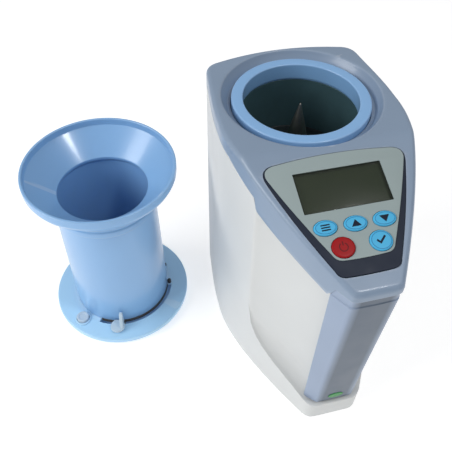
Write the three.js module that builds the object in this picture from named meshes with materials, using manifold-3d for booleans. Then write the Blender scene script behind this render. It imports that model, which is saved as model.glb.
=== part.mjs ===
// Cup-type grain moisture meter with its separate drop sampler.
// Millimetres, +Z up. The meter stands on four rubber feet on z = 0, with its sloping keypad towards -Y;
// the sampler stands beside it, towards -X. The origin is on the floor, below the middle of the pair.

import * as THREE from 'three';
import { ConvexGeometry } from 'three/addons/geometries/ConvexGeometry.js';
import { mergeVertices } from 'three/addons/utils/BufferGeometryUtils.js';
import Module from 'manifold-3d';

const wasm = await Module();
wasm.setup();

// ---------------------------------------------------------------- driving dimensions

const CLEARANCE = 0.3;            // between pieces that touch on the real object
const LARGE_ROUND = 36;           // facets round a cup, ring or tube
const SMALL_ROUND = 10;           // facets round a screw, boss or pin

const METER_X = 72;               // axis of the measuring cup
const METER_Y = 33.5;
const SAMPLER_X = METER_X - 147.5;
const SAMPLER_Y = METER_Y + 22.4;

// Meter casing, in the frame of the cup axis
const BODY_HEIGHT = 215;
const HALF_WIDTH = 64;
const REAR_Y = 60;
const NOSE_Y = -150;
const PLINTH_FRONT_Y = -141.5;
const FLOOR_GAP = 2;              // height of the feet
const WALL = 2.5;
const COVER_THICKNESS = 2.8;
const SLOPE = 0.34;               // fall of the keypad face per millimetre forward
const SLOPE_START_Y = -55;
const SLOPE_BLEND = 3;
const EDGE_Z = 203.5;             // lower edge of the cover's skirt, level at the rear
const EDGE_SLOPE = 0.3;
const EDGE_START_Y = -41;
const GRIP_SKIRT_DROP = 9;        // extra depth of the skirt over the side grips
const LAP = 4;                    // tongue of the housing inside the skirt
const GRIP_REAR_Y = -73;
const COLUMN_TOP_Z = 176;         // hollow column that carries the nose
const COLUMN_FOOT_Z = 24;
const COLUMN_REAR_TOP_Y = -135;
const COLUMN_REAR_FOOT_Y = -131;
const COLUMN_FOOT_FRONT_Y = -139.6;
const COLUMN_TOP_FRONT_Y = -149.3;
const STICKER_WIDTH = 12;
const STICKER_HEIGHT = 7.5;
const STICKER_Z = 33;
const BASE_SCREWS = [[53.5, 22], [-53.5, 22], [40, -86], [-40, -86]];
const FEET = [[46, 40], [-46, 40], [28, -108], [-28, -108]];
const BEHIND = REAR_Y + 5;        // clear of the casing, behind and ahead
const AHEAD = NOSE_Y - 5;

// Measuring cup
const CUP_RING_R = 49.3;
const CUP_MOUTH_R = 40.9;
const CUP_BORE_R = 42.5;
const CUP_TOP_Z = 212;
const CUP_RING_FOOT_Z = 190;
const CUP_FLOOR_Z = 154;
const CARRIER_Z = 122;

// Keypad, in its own frame: origin at the middle of the display, z square to the sloping face
const PANEL_X = -1.5;
const PANEL_Y = -85;
const WINDOW_WIDTH = 58;
const WINDOW_HEIGHT = 27.8;
const BEZEL_TOP = 0.3;
const LABEL_TOP = 1;
const BOARD_TOP = -11.4;
const KEYS = [
  { name: 'menu', x: -19, y: -24.4, width: 14.8, height: 10, colour: 0x3aa5cf },
  { name: 'up', x: 0, y: -24.8, width: 14.8, height: 10, colour: 0x3aa5cf },
  { name: 'down', x: 18.6, y: -25.1, width: 14.8, height: 10, colour: 0x3aa5cf },
  { name: 'power', x: -12, y: -38.2, width: 14.4, height: 13.2, colour: 0x97191e },
  { name: 'ok', x: 11.8, y: -38.3, width: 14.4, height: 13.2, colour: 0x3aa5cf },
];

// Batteries, in their compartment in the rear wall
const DOOR_WIDTH = 62;
const DOOR_FOOT_Z = 12;
const DOOR_TOP_Z = 78;
const DOOR_THICKNESS = 2.4;
const REAR_FLAT_Y = 56.5;
const CELL_RADIUS = 7.25;
const CELL_LENGTH = 50.5;
const CELL_Y = 42.5;
const CELL_FOOT_Z = 15.5;
const CELL_PITCH = 15;

// Drop sampler, in the frame of its own axis
const SAMPLER_HEIGHT = 158.6;
const FUNNEL_R = 58.7;
const THROAT_R = 35.3;
const THROAT_Z = 136;
const TUBE_BORE_R = 37.8;
const TUBE_FOOT_R = 42;
const TUBE_TOP_R = 40;
const SAUCER_R = 60.5;
const SAUCER_FOOT_Z = 3;
const SLOT_R = 44.2;              // middle of the arc slot for the lever
const SLOT_HALF_WIDTH = 1.3;
const SLOT_START = -124;          // degrees round the axis, counter-clockwise from +X
const SLOT_END = -15;
const LEVER_ANGLE = -102;
const BUTTON_ANGLE = -142;
const BUTTON_R = 50;
const SAMPLER_SCREW_R = 52;
const SAMPLER_SCREWS = [60, 180, 300];

// ---------------------------------------------------------------- shape helpers

const degrees = THREE.MathUtils.degToRad;

// A closed geometry as a solid that can be joined and cut.
function solid(geometry) {
  const bare = geometry.clone();
  bare.deleteAttribute('normal');
  bare.deleteAttribute('uv');
  const merged = mergeVertices(bare, 1e-4);
  const points = merged.attributes.position.array;
  const corners = merged.index.array;
  const faces = [];
  let volume = 0;
  for (let i = 0; i < corners.length; i += 3) {
    const [a, b, c] = [corners[i], corners[i + 1], corners[i + 2]];
    if (a === b || b === c || c === a) continue;
    faces.push([a, b, c]);
    const [p, q, r] = [a, b, c].map((n) => new THREE.Vector3().fromArray(points, 3 * n));
    volume += p.dot(q.cross(r));
  }
  const outward = volume > 0 ? faces : faces.map(([a, b, c]) => [a, c, b]);
  return new wasm.Manifold(new wasm.Mesh({
    numProp: 3,
    vertProperties: new Float32Array(points),
    triVerts: new Uint32Array(outward.flat()),
  }));
}

function join(...solids) {
  return solids.reduce((whole, next) => whole.add(next));
}

function cut(whole, ...tools) {
  return tools.reduce((rest, tool) => rest.subtract(tool), whole);
}

// A named mesh from a solid.
function piece(name, shape, colour, roughness = 0.5, metalness = 0) {
  const mesh = shape.getMesh();
  const geometry = new THREE.BufferGeometry();
  geometry.setAttribute('position', new THREE.BufferAttribute(mesh.vertProperties, 3));
  geometry.setIndex(new THREE.BufferAttribute(mesh.triVerts, 1));
  geometry.computeVertexNormals();
  const material = new THREE.MeshStandardMaterial({ color: colour, roughness, metalness });
  const result = new THREE.Mesh(geometry, material);
  result.name = name;
  return result;
}

function extrusion(shape, low, high, divisions = 8) {
  const options = { depth: high - low, bevelEnabled: false, curveSegments: divisions };
  return new THREE.ExtrudeGeometry(shape, options).translate(0, 0, low);
}

function prism(shape, low, high, divisions) {
  return solid(extrusion(shape, low, high, divisions));
}

// A side view, drawn as (y, z) points, made solid across the casing from x = low to x = high.
function sidePrism(points, low, high) {
  const shape = new THREE.Shape(points.map(([y, z]) => new THREE.Vector2(y, z)));
  const turn = new THREE.Matrix4().makeBasis(
    new THREE.Vector3(0, 1, 0),
    new THREE.Vector3(0, 0, 1),
    new THREE.Vector3(1, 0, 0),
  );
  return solid(extrusion(shape, low, high).applyMatrix4(turn));
}

// A turned shape about +Z from (radius, z) points.
function turned(profile, segments = LARGE_ROUND) {
  const points = profile.map(([r, z]) => new THREE.Vector2(r, z));
  return solid(new THREE.LatheGeometry(points, segments).rotateX(Math.PI / 2));
}

function ring(innerR, outerR, low, high, segments = LARGE_ROUND) {
  return turned([[innerR, low], [outerR, low], [outerR, high], [innerR, high], [innerR, low]], segments);
}

function rod(radius, low, high, x = 0, y = 0, segments = SMALL_ROUND) {
  const geometry = new THREE.CylinderGeometry(radius, radius, high - low, segments).rotateX(Math.PI / 2);
  return solid(geometry.translate(x, y, (low + high) / 2));
}

function block(x0, x1, y0, y1, z0, z1) {
  const geometry = new THREE.BoxGeometry(x1 - x0, y1 - y0, z1 - z0);
  return solid(geometry.translate((x0 + x1) / 2, (y0 + y1) / 2, (z0 + z1) / 2));
}

function polar(radius, angle) {
  return new THREE.Vector2(radius * Math.cos(degrees(angle)), radius * Math.sin(degrees(angle)));
}

// A sector of a ring, in plan.
function sector(innerR, outerR, start, end) {
  const shape = new THREE.Shape();
  shape.absarc(0, 0, outerR, degrees(start), degrees(end), false);
  shape.absarc(0, 0, innerR, degrees(end), degrees(start), true);
  shape.closePath();
  return shape;
}

function oval(x, y, width, height) {
  const shape = new THREE.Shape();
  shape.absellipse(x, y, width / 2, height / 2, 0, 2 * Math.PI, false);
  return shape;
}

function rectangle(halfX, halfY) {
  return new THREE.Shape([
    new THREE.Vector2(-halfX, -halfY),
    new THREE.Vector2(halfX, -halfY),
    new THREE.Vector2(halfX, halfY),
    new THREE.Vector2(-halfX, halfY),
  ]);
}

// ---------------------------------------------------------------- casing outline and side views

// Plan of the casing, drawn in by an inset: narrow nose, sides that swell to the middle, bowed rear.
function casingPlan(inset) {
  const nose = NOSE_Y + inset;
  const side = HALF_WIDTH - inset;
  const half = [
    ['line', 10 - 0.4 * inset, nose],
    ['quadratic', 15.2 - 0.57 * inset, nose, 16.4 - 0.57 * inset, nose + 2],
    ['cubic', 69.2 - 1.1 * inset, -55.8 + 0.3 * inset, side, -27.4, side, -15],
    ['cubic', side, 5, 60.5 - inset, 25, 59 - inset, 40],
    ['quadratic', 58 - inset, 51.5 - inset, 48 - 0.5 * inset, 53.3 - inset],
  ];
  const plan = new THREE.Shape();
  plan.moveTo(0, nose);
  let [lastX, lastY] = [0, nose];
  const back = [];
  for (const [kind, ...at] of half) {
    if (kind === 'line') plan.lineTo(...at);
    if (kind === 'quadratic') plan.quadraticCurveTo(...at);
    if (kind === 'cubic') plan.bezierCurveTo(...at);
    back.unshift([kind, ...at.slice(0, -2), lastX, lastY]);
    [lastX, lastY] = at.slice(-2);
  }
  plan.quadraticCurveTo(0, 2 * (REAR_Y - inset) - lastY, -lastX, lastY);
  for (const [kind, ...at] of back) {
    const [endX, endY] = at.slice(-2);
    const [ax, ay, bx, by] = at;
    if (kind === 'line') plan.lineTo(-endX, endY);
    if (kind === 'quadratic') plan.quadraticCurveTo(-ax, ay, -endX, endY);
    if (kind === 'cubic') plan.bezierCurveTo(-bx, by, -ax, ay, -endX, endY);
  }
  return plan;
}

function casingPrism(inset, low, high) {
  return prism(casingPlan(inset), low, high, 7);
}

// Height of the top face over the casing.
function topZ(y) {
  const ahead = SLOPE_START_Y - y;
  if (ahead < -SLOPE_BLEND) return BODY_HEIGHT;
  if (ahead > SLOPE_BLEND) return BODY_HEIGHT - SLOPE * ahead;
  return BODY_HEIGHT - SLOPE * (ahead + SLOPE_BLEND) ** 2 / (4 * SLOPE_BLEND);
}

// Side view of the top face, rear to front, lowered by a drop.
function topLine(drop, rearY, frontY) {
  const bend = [SLOPE_START_Y + SLOPE_BLEND, SLOPE_START_Y, SLOPE_START_Y - SLOPE_BLEND];
  const stations = [rearY, ...bend.filter((y) => y < rearY && y > frontY), frontY];
  return stations.map((y) => [y, topZ(y) - drop]);
}

// Height of the lower edge of the cover's skirt behind the side grips.
function edgeZ(y) {
  return EDGE_Z - EDGE_SLOPE * Math.max(0, EDGE_START_Y - y);
}

// Side view of that edge, rear to front, lowered by a drop.
function edgeLine(drop, rearY, frontY) {
  const stations = [rearY, ...[EDGE_START_Y].filter((y) => y < rearY && y > frontY), frontY];
  return stations.map((y) => [y, edgeZ(y) - drop]);
}

// Side grip: the lower edge sweeps up from the plinth to the upright rear edge.
function gripSide(grow) {
  return [
    [AHEAD, 22 - grow],
    [-139, 22 - grow],
    [-122, 31 - grow],
    [-103, 37 - grow],
    [-86, 46 - grow],
    [-77 + grow, 58 - grow],
    [GRIP_REAR_Y + grow, 75],
    [GRIP_REAR_Y + grow, BODY_HEIGHT],
    [AHEAD, BODY_HEIGHT],
  ];
}

// Plan of the space scooped out beside the front of the housing, to the right.
function gripPlan(grow) {
  const plan = new THREE.Shape();
  plan.moveTo(80, GRIP_REAR_Y + grow);
  plan.lineTo(53.4 - grow, GRIP_REAR_Y + grow);
  plan.quadraticCurveTo(33 - grow, -88, 14 - grow, -133);
  plan.lineTo(14 - grow, AHEAD);
  plan.lineTo(80, AHEAD);
  return plan;
}

// Both grip spaces, grown by a wall thickness where the inside of the housing needs it.
function gripScoops(grow) {
  const right = extrusion(gripPlan(grow), 10, BODY_HEIGHT, 8);
  const both = join(solid(right), solid(right.clone().rotateY(Math.PI).translate(0, 0, BODY_HEIGHT + 10)));
  return both.intersect(sidePrism(gripSide(grow), -90, 90));
}

// ---------------------------------------------------------------- panel placing

const PANEL_TILT = Math.atan(SLOPE);
const panelMatrix = new THREE.Matrix4()
  .makeTranslation(PANEL_X, PANEL_Y, topZ(PANEL_Y))
  .multiply(new THREE.Matrix4().makeRotationX(PANEL_TILT));

function panelCutter(shape, low, high) {
  return solid(extrusion(shape, low, high, 6).applyMatrix4(panelMatrix));
}

// The bezel's pocket in the cover, grown by a hair so that the bezel drops in.
function bezelPocket() {
  const growth = 1.008;
  return solid(extrusion(bezelPlan(), -1.5, 3, 6).scale(growth, growth, 1).applyMatrix4(panelMatrix));
}

// The dark bezel round the keypad, wide at the display and narrow at the nose.
function bezelPlan() {
  const plan = new THREE.Shape();
  plan.moveTo(-15, -56);
  plan.quadraticCurveTo(0, -56.8, 15, -56);
  plan.quadraticCurveTo(19.4, -55.6, 20.8, -51);
  plan.quadraticCurveTo(37.4, -16.5, 46, 11.5);
  plan.quadraticCurveTo(48.4, 20.4, 40, 22.2);
  plan.quadraticCurveTo(0, 27.2, -40, 22.2);
  plan.quadraticCurveTo(-48.4, 20.4, -46, 11.5);
  plan.quadraticCurveTo(-37.4, -16.5, -20.8, -51);
  plan.quadraticCurveTo(-19.4, -55.6, -15, -56);
  return plan;
}

// The printed label inside the bezel.
function labelPlan() {
  const plan = new THREE.Shape();
  plan.moveTo(-14, -46);
  plan.quadraticCurveTo(0, -47, 14, -46);
  plan.quadraticCurveTo(18.4, -45.6, 20, -41.2);
  plan.quadraticCurveTo(34.6, -13.4, 44.6, 12);
  plan.quadraticCurveTo(46.6, 19.2, 39, 21);
  plan.quadraticCurveTo(0, 25.8, -39, 21);
  plan.quadraticCurveTo(-46.6, 19.2, -44.6, 12);
  plan.quadraticCurveTo(-34.6, -13.4, -20, -41.2);
  plan.quadraticCurveTo(-18.4, -45.6, -14, -46);
  return plan;
}

// Oval openings for the keys, made by a cutter that takes a plan, a low and a high.
function keyOpenings(low, high, place) {
  return KEYS.map((key) => {
    const shape = oval(key.x, key.y, key.width + 2 * CLEARANCE, key.height + 2 * CLEARANCE);
    return place(shape, low, high);
  });
}

// ---------------------------------------------------------------- meter casing

// Plan of the column at one height: a narrow front and wider rear edges.
function columnSection(frontHalf, frontY, rearHalf, rearY) {
  const half = [[frontHalf - 3, frontY], [frontHalf, frontY + 1], [rearHalf, rearY]];
  return [...half, ...half.map(([x, y]) => [-x, y])];
}

function columnBetween(foot, footZ, top, headZ) {
  const points = [
    ...foot.map(([x, y]) => new THREE.Vector3(x, y, footZ)),
    ...top.map(([x, y]) => new THREE.Vector3(x, y, headZ)),
  ];
  return solid(new ConvexGeometry(points));
}

// Side view of the cover: top face, nose, deep skirt over the grips, shallow skirt at the rear.
function coverSide() {
  return [
    ...topLine(0, BEHIND, NOSE_Y - 1),
    [NOSE_Y - 1, COLUMN_TOP_Z],
    [COLUMN_REAR_TOP_Y - 8, COLUMN_TOP_Z],
    [COLUMN_REAR_TOP_Y, edgeZ(COLUMN_REAR_TOP_Y) - GRIP_SKIRT_DROP],
    [GRIP_REAR_Y, edgeZ(GRIP_REAR_Y) - GRIP_SKIRT_DROP],
    ...edgeLine(0, BEHIND, GRIP_REAR_Y).reverse(),
  ];
}

function topCover() {
  const cap = casingPrism(0, COLUMN_FOOT_Z, BODY_HEIGHT + 1).intersect(sidePrism(coverSide(), -90, 90));
  const column = columnBetween(
    columnSection(16, COLUMN_FOOT_FRONT_Y, 23, COLUMN_REAR_FOOT_Y), COLUMN_FOOT_Z + CLEARANCE,
    columnSection(17, COLUMN_TOP_FRONT_Y, 23.8, COLUMN_REAR_TOP_Y), COLUMN_TOP_Z + 1,
  );
  const columnHollow = columnBetween(
    columnSection(14, COLUMN_FOOT_FRONT_Y + WALL, 20.2, COLUMN_REAR_FOOT_Y + 1), COLUMN_FOOT_Z - 1,
    columnSection(15, COLUMN_TOP_FRONT_Y + WALL, 21, COLUMN_REAR_TOP_Y + 1), COLUMN_TOP_Z + 2,
  );
  const hollowSide = [
    ...topLine(COVER_THICKNESS, BEHIND, AHEAD),
    [AHEAD, COLUMN_TOP_Z - 10],
    [COLUMN_REAR_TOP_Y, 150],
    [BEHIND, 150],
  ];
  const hollow = casingPrism(WALL, 150, BODY_HEIGHT).intersect(sidePrism(hollowSide, -90, 90));
  const collar = turned([[0, 203], [54.2, 203], [54.2, 209], [57.4, 212.3], [57.4, 213], [0, 213]]);
  const wellProfile = [[0, 200], [50.6, 200], [50.6, 207.3], [56.4, 215], [56.4, 216], [0, 216]];
  const shell = join(cut(join(cap, column), hollow, columnHollow), collar);
  return cut(
    shell,
    turned(wellProfile),
    bezelPocket(),
    panelCutter(rectangle(31, 16), -6, 0),
    ...keyOpenings(-6, 0, panelCutter),
  );
}

function lowerHousing() {
  const below = [...edgeLine(CLEARANCE, BEHIND, AHEAD), [AHEAD, 0], [BEHIND, 0]];
  const tongueSide = [
    ...edgeLine(-LAP, BEHIND, GRIP_REAR_Y),
    ...edgeLine(GRIP_SKIRT_DROP - LAP, GRIP_REAR_Y, AHEAD),
    [AHEAD, 0],
    [BEHIND, 0],
  ];
  const skirtRoom = [
    ...topLine(0, GRIP_REAR_Y + CLEARANCE, AHEAD),
    ...edgeLine(GRIP_SKIRT_DROP + CLEARANCE, GRIP_REAR_Y + CLEARANCE, AHEAD).reverse(),
  ];
  const outer = cut(
    casingPrism(0, FLOOR_GAP, BODY_HEIGHT).intersect(sidePrism(below, -90, 90)),
    sidePrism(skirtRoom, -90, 90),
  );
  const tongue = casingPrism(WALL + CLEARANCE, FLOOR_GAP, BODY_HEIGHT).intersect(sidePrism(tongueSide, -90, 90));
  const nose = block(-90, 90, AHEAD, PLINTH_FRONT_Y, 0, BODY_HEIGHT);
  const column = block(-90, 90, AHEAD, COLUMN_REAR_FOOT_Y + 1, COLUMN_FOOT_Z, BODY_HEIGHT);
  const lowHollow = casingPrism(WALL, 0, 180);
  const highHollow = casingPrism(2 * WALL + CLEARANCE, 170, BODY_HEIGHT);
  const hollow = cut(
    join(lowHollow, highHollow),
    gripScoops(WALL),
    block(-90, 90, AHEAD, PLINTH_FRONT_Y + WALL, 0, BODY_HEIGHT),
    block(-90, 90, AHEAD, COLUMN_REAR_FOOT_Y + 1 + WALL, COLUMN_FOOT_Z - WALL, BODY_HEIGHT),
  );
  const bosses = BASE_SCREWS.map(([x, y]) => {
    const wallX = x + 6.5 * Math.sign(x);
    const rib = block(Math.min(x, wallX), Math.max(x, wallX), y - 1.2, y + 1.2, 5.3, 20);
    return join(rod(4.2, 5.3, 22, x, y), rib);
  });
  const screwHoles = BASE_SCREWS.map(([x, y]) => rod(1.8, 4, 18, x, y));
  const doorPad = block(-37, 37, 52.5, 57, 6, 86);
  const doorway = block(-DOOR_WIDTH / 2 - 0.3, DOOR_WIDTH / 2 + 0.3, 45, 65, DOOR_FOOT_Z - 0.3, DOOR_TOP_Z + 0.3);
  const shell = cut(join(outer, tongue), nose, column, gripScoops(0), hollow);
  return cut(
    join(shell, doorPad, ...bosses),
    block(-36, 36, REAR_FLAT_Y, 70, 7, 85),
    doorway,
    ...screwHoles,
  );
}

function basePlate() {
  const plate = cut(
    casingPrism(WALL + 0.4, FLOOR_GAP, FLOOR_GAP + 3),
    block(-90, 90, AHEAD, PLINTH_FRONT_Y + WALL + 0.4, 0, 10),
  );
  const holes = BASE_SCREWS.map(([x, y]) => rod(1.9, 0, 8, x, y));
  const counterbores = BASE_SCREWS.map(([x, y]) => rod(3.5, 0, FLOOR_GAP + 1.8, x, y));
  return cut(plate, ...holes, ...counterbores);
}

function baseScrew(x, y) {
  const shape = turned([[0, 2.2], [3, 2.2], [3, 3.5], [1.5, 3.5], [1.5, 14], [0, 16]], SMALL_ROUND);
  const screw = piece('screw', shape, 0x8d9094, 0.35, 0.9);
  screw.position.set(x, y, 0);
  return screw;
}

function rubberFoot(x, y) {
  const shape = turned([[0, 0], [5.4, 0], [6, 0.6], [6, 1.7], [0, 1.7]], SMALL_ROUND);
  const foot = piece('foot', shape, 0x26272a, 0.9);
  foot.position.set(x, y, 0);
  return foot;
}

function meterCasing() {
  const casing = new THREE.Group();
  casing.add(
    piece('top_cover', topCover(), 0x8293ac, 0.45),
    piece('lower_housing', lowerHousing(), 0xe3e5e6, 0.5),
    piece('base_plate', basePlate(), 0xd5d8da, 0.6),
  );
  BASE_SCREWS.forEach(([x, y], i) => {
    const screw = baseScrew(x, y);
    screw.name = `base_screw_${i + 1}`;
    casing.add(screw);
  });
  FEET.forEach(([x, y], i) => {
    const foot = rubberFoot(x, y);
    foot.name = `foot_${i + 1}`;
    casing.add(foot);
  });
  return casing;
}

// ---------------------------------------------------------------- measuring cup and weighing cell

function cupRing() {
  return turned([
    [CUP_MOUTH_R, CUP_TOP_Z - 0.8], [CUP_MOUTH_R + 0.8, CUP_TOP_Z],
    [CUP_RING_R - 1, CUP_TOP_Z], [CUP_RING_R, CUP_TOP_Z - 1],
    [CUP_RING_R, CUP_RING_FOOT_Z], [44.9, CUP_RING_FOOT_Z],
    [44.9, 198], [42.4, 198], [CUP_MOUTH_R, CUP_TOP_Z - 0.8],
  ]);
}

function cupWall() {
  const foot = CARRIER_Z + CLEARANCE;
  return turned([
    [CUP_BORE_R, 197.7], [44.5, 197.7], [44.5, foot], [CUP_BORE_R, foot],
    [CUP_BORE_R, 143.7], [39.5, 143.7], [39.5, 147.7], [CUP_BORE_R, 147.7], [CUP_BORE_R, 197.7],
  ]);
}

function cupFloor() {
  const disc = ring(4.4, CUP_BORE_R - CLEARANCE, 148, CUP_FLOOR_Z);
  return cut(disc, rod(2.3, 147, 155, 22, 0));
}

function centreElectrode() {
  return turned([
    [0, 207], [0.5, 206.4], [9.5, 171.5], [9.5, CUP_FLOOR_Z + CLEARANCE],
    [4, CUP_FLOOR_Z + CLEARANCE], [4, 140], [0, 140],
  ], 20);
}

function temperatureProbe() {
  return turned([[0, 143], [2, 143], [2, 158.5], [1.2, 159.8], [0, 160]], SMALL_ROUND);
}

function cupCarrier() {
  const plate = rod(46, CARRIER_Z - 4, CARRIER_Z, 0, 0, LARGE_ROUND);
  return join(plate, block(-10, 10, 18, 37.5, 113.6, CARRIER_Z - 2));
}

function loadCell() {
  const bar = block(-6.5, 6.5, -37.5, 37.5, 100.3, 113.3);
  const bores = [-7, 7].map((y) => {
    const bore = new THREE.CylinderGeometry(4.6, 4.6, 20, SMALL_ROUND).rotateZ(Math.PI / 2);
    return solid(bore.translate(0, y, 106.8));
  });
  return cut(bar, ...bores, block(-10, 10, -7, 7, 105.8, 107.8));
}

function cellPedestal() {
  const foot = block(-18, 18, -46, -12, 5.3, 10);
  return join(foot, block(-8, 8, -37.5, -19, 9, 100));
}

function measuringCup() {
  const cup = new THREE.Group();
  const probe = piece('temperature_probe', temperatureProbe(), 0xb9bcc0, 0.25, 0.9);
  probe.position.x = 22;
  cup.add(
    piece('cup_ring', cupRing(), 0x7aa6d3, 0.25),
    piece('cup_wall', cupWall(), 0x1d2b2d, 0.35, 0.7),
    piece('cup_floor', cupFloor(), 0x14191b, 0.5),
    piece('centre_electrode', centreElectrode(), 0x4a4d4c, 0.35, 0.8),
    probe,
    piece('cup_carrier', cupCarrier(), 0xa9adb0, 0.4, 0.9),
    piece('load_cell', loadCell(), 0xb4b8bb, 0.35, 0.9),
    piece('cell_pedestal', cellPedestal(), 0x9a9ea2, 0.5, 0.9),
  );
  return cup;
}

// ---------------------------------------------------------------- keypad and display

function keypadLabel() {
  const window = rectangle(WINDOW_WIDTH / 2, WINDOW_HEIGHT / 2);
  return cut(
    prism(labelPlan(), BEZEL_TOP + CLEARANCE, LABEL_TOP, 6),
    prism(window, -1, 3),
    ...keyOpenings(-1, 3, prism),
  );
}

function keypadBezel() {
  const opening = rectangle(WINDOW_WIDTH / 2 + 0.6, WINDOW_HEIGHT / 2 + 0.6);
  return cut(
    prism(bezelPlan(), -1.2, BEZEL_TOP, 6),
    prism(opening, -4, 4),
    ...keyOpenings(-4, 4, prism),
  );
}

function pushKey({ width, height }) {
  const cap = prism(oval(0, 0, width, height), -3.4, 1.5);
  const crown = prism(oval(0, 0, width - 1.6, height - 1.6), 1.4, 2);
  const lip = prism(oval(0, 0, width + 2, height + 2), -4.3, -3.3);
  return join(cap, crown, lip, rod(2, -6.5, -4));
}

function displayModule() {
  const body = prism(rectangle(33, 17.6), BOARD_TOP + CLEARANCE, -3.2);
  return join(body, prism(rectangle(29.6, 15), -4, -1.3));
}

function mainBoard() {
  const plan = new THREE.Shape([
    new THREE.Vector2(-20, -50),
    new THREE.Vector2(20, -50),
    new THREE.Vector2(38, -6),
    new THREE.Vector2(38, 20),
    new THREE.Vector2(-38, 20),
    new THREE.Vector2(-38, -6),
  ]);
  return prism(plan, BOARD_TOP - 1.6, BOARD_TOP);
}

function keypad() {
  const panel = new THREE.Group();
  panel.applyMatrix4(panelMatrix);
  const window = prism(rectangle(WINDOW_WIDTH / 2 - 0.3, WINDOW_HEIGHT / 2 - 0.3), -0.9, LABEL_TOP);
  panel.add(
    piece('keypad_label', keypadLabel(), 0x929c9c, 0.55),
    piece('keypad_bezel', keypadBezel(), 0x2d3448, 0.4),
    piece('display_window', window, 0x3a4638, 0.1),
    piece('display_module', displayModule(), 0x2f382c, 0.4),
    piece('main_board', mainBoard(), 0x2c6b41, 0.6),
  );
  for (const key of KEYS) {
    const cap = piece(`${key.name}_key`, pushKey(key), key.colour, 0.4);
    cap.position.set(key.x, key.y, 0);
    const dome = piece(`${key.name}_switch`, prism(rectangle(3, 3), BOARD_TOP + CLEARANCE, -7.7), 0x303236, 0.5);
    dome.position.set(key.x, key.y, 0);
    panel.add(cap, dome);
  }
  return panel;
}

// ---------------------------------------------------------------- batteries

function batteryTray() {
  const high = CELL_FOOT_Z + 4 * CELL_PITCH + 2.5;
  return cut(
    block(-30.8, 30.8, 32, 52.2, 13, high),
    block(-28.8, 28.8, 34, 54, 15, high - 2),
  );
}

// An AA cell lying along X; its button end points the way of the sign.
function batteryCell(sign) {
  const half = CELL_LENGTH / 2;
  const profile = [
    [0, -half], [CELL_RADIUS, -half], [CELL_RADIUS, half - 1.6],
    [2.7, half - 1.6], [2.7, half - 0.2], [0, half - 0.2],
  ];
  const shape = turned(profile, 20);
  const battery = piece('cell', shape, 0x3f5f8c, 0.35, 0.3);
  battery.rotation.y = sign * Math.PI / 2;
  return battery;
}

function contactStrip(x) {
  return block(x - 0.4, x + 0.4, CELL_Y - 6, CELL_Y + 6, 17, 72);
}

function batteryDoor() {
  const hinge = DOOR_THICKNESS / 2;
  const middleY = REAR_FLAT_Y - hinge;
  const half = DOOR_WIDTH / 2;
  const plate = block(-half, half, middleY - hinge, middleY + hinge, DOOR_FOOT_Z + hinge, DOOR_TOP_Z);
  const roll = new THREE.CylinderGeometry(hinge, hinge, DOOR_WIDTH, SMALL_ROUND).rotateZ(Math.PI / 2);
  const thumbGroove = block(-9, 9, REAR_FLAT_Y - 0.9, REAR_FLAT_Y + 1, DOOR_TOP_Z - 8, DOOR_TOP_Z - 4);
  return cut(join(plate, solid(roll.translate(0, middleY, DOOR_FOOT_Z + hinge))), thumbGroove);
}

function batteries() {
  const pack = new THREE.Group();
  pack.add(
    piece('battery_tray', batteryTray(), 0x33363a, 0.6),
    piece('contact_strip_left', contactStrip(-27.4), 0xc7c9cb, 0.3, 0.95),
    piece('contact_strip_right', contactStrip(27.4), 0xc7c9cb, 0.3, 0.95),
    piece('battery_door', batteryDoor(), 0xdfe1e2, 0.5),
  );
  for (let i = 0; i < 4; i += 1) {
    const battery = batteryCell(i % 2 ? 1 : -1);
    battery.name = `battery_${i + 1}`;
    battery.position.set(0, CELL_Y, CELL_FOOT_Z + CELL_PITCH * (i + 0.5));
    pack.add(battery);
  }
  return pack;
}

// Oval sticker near the foot of the column, on its leaning front.
function columnSticker() {
  const reach = COLUMN_FOOT_FRONT_Y - COLUMN_TOP_FRONT_Y;
  const rise = COLUMN_TOP_Z + 1 - COLUMN_FOOT_Z;
  const lean = Math.atan2(reach, rise);
  const sticker = piece('column_sticker', prism(oval(0, 0, STICKER_WIDTH, STICKER_HEIGHT), 0, 0.3), 0x3f8f4a, 0.5);
  sticker.rotation.x = Math.PI / 2 + lean;
  const faceY = COLUMN_FOOT_FRONT_Y - reach * (STICKER_Z - COLUMN_FOOT_Z) / rise;
  sticker.position.set(0, faceY - CLEARANCE - 0.1, STICKER_Z);
  return sticker;
}

// ---------------------------------------------------------------- drop sampler

function barrel() {
  return turned([
    [TUBE_BORE_R, 10.3], [TUBE_FOOT_R, 10.3], [TUBE_TOP_R, 121],
    [TUBE_TOP_R + 1.6, 124], [TUBE_TOP_R + 1.6, 127], [FUNNEL_R - 1.2, 149],
    [FUNNEL_R, 152], [FUNNEL_R, SAMPLER_HEIGHT - 0.8], [FUNNEL_R - 0.8, SAMPLER_HEIGHT],
    [FUNNEL_R - 1.6, SAMPLER_HEIGHT], [FUNNEL_R - 2.4, 153.5], [THROAT_R, THROAT_Z],
    [THROAT_R, THROAT_Z - 2], [TUBE_BORE_R, THROAT_Z - 6], [TUBE_BORE_R, 10.3],
  ]);
}

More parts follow.
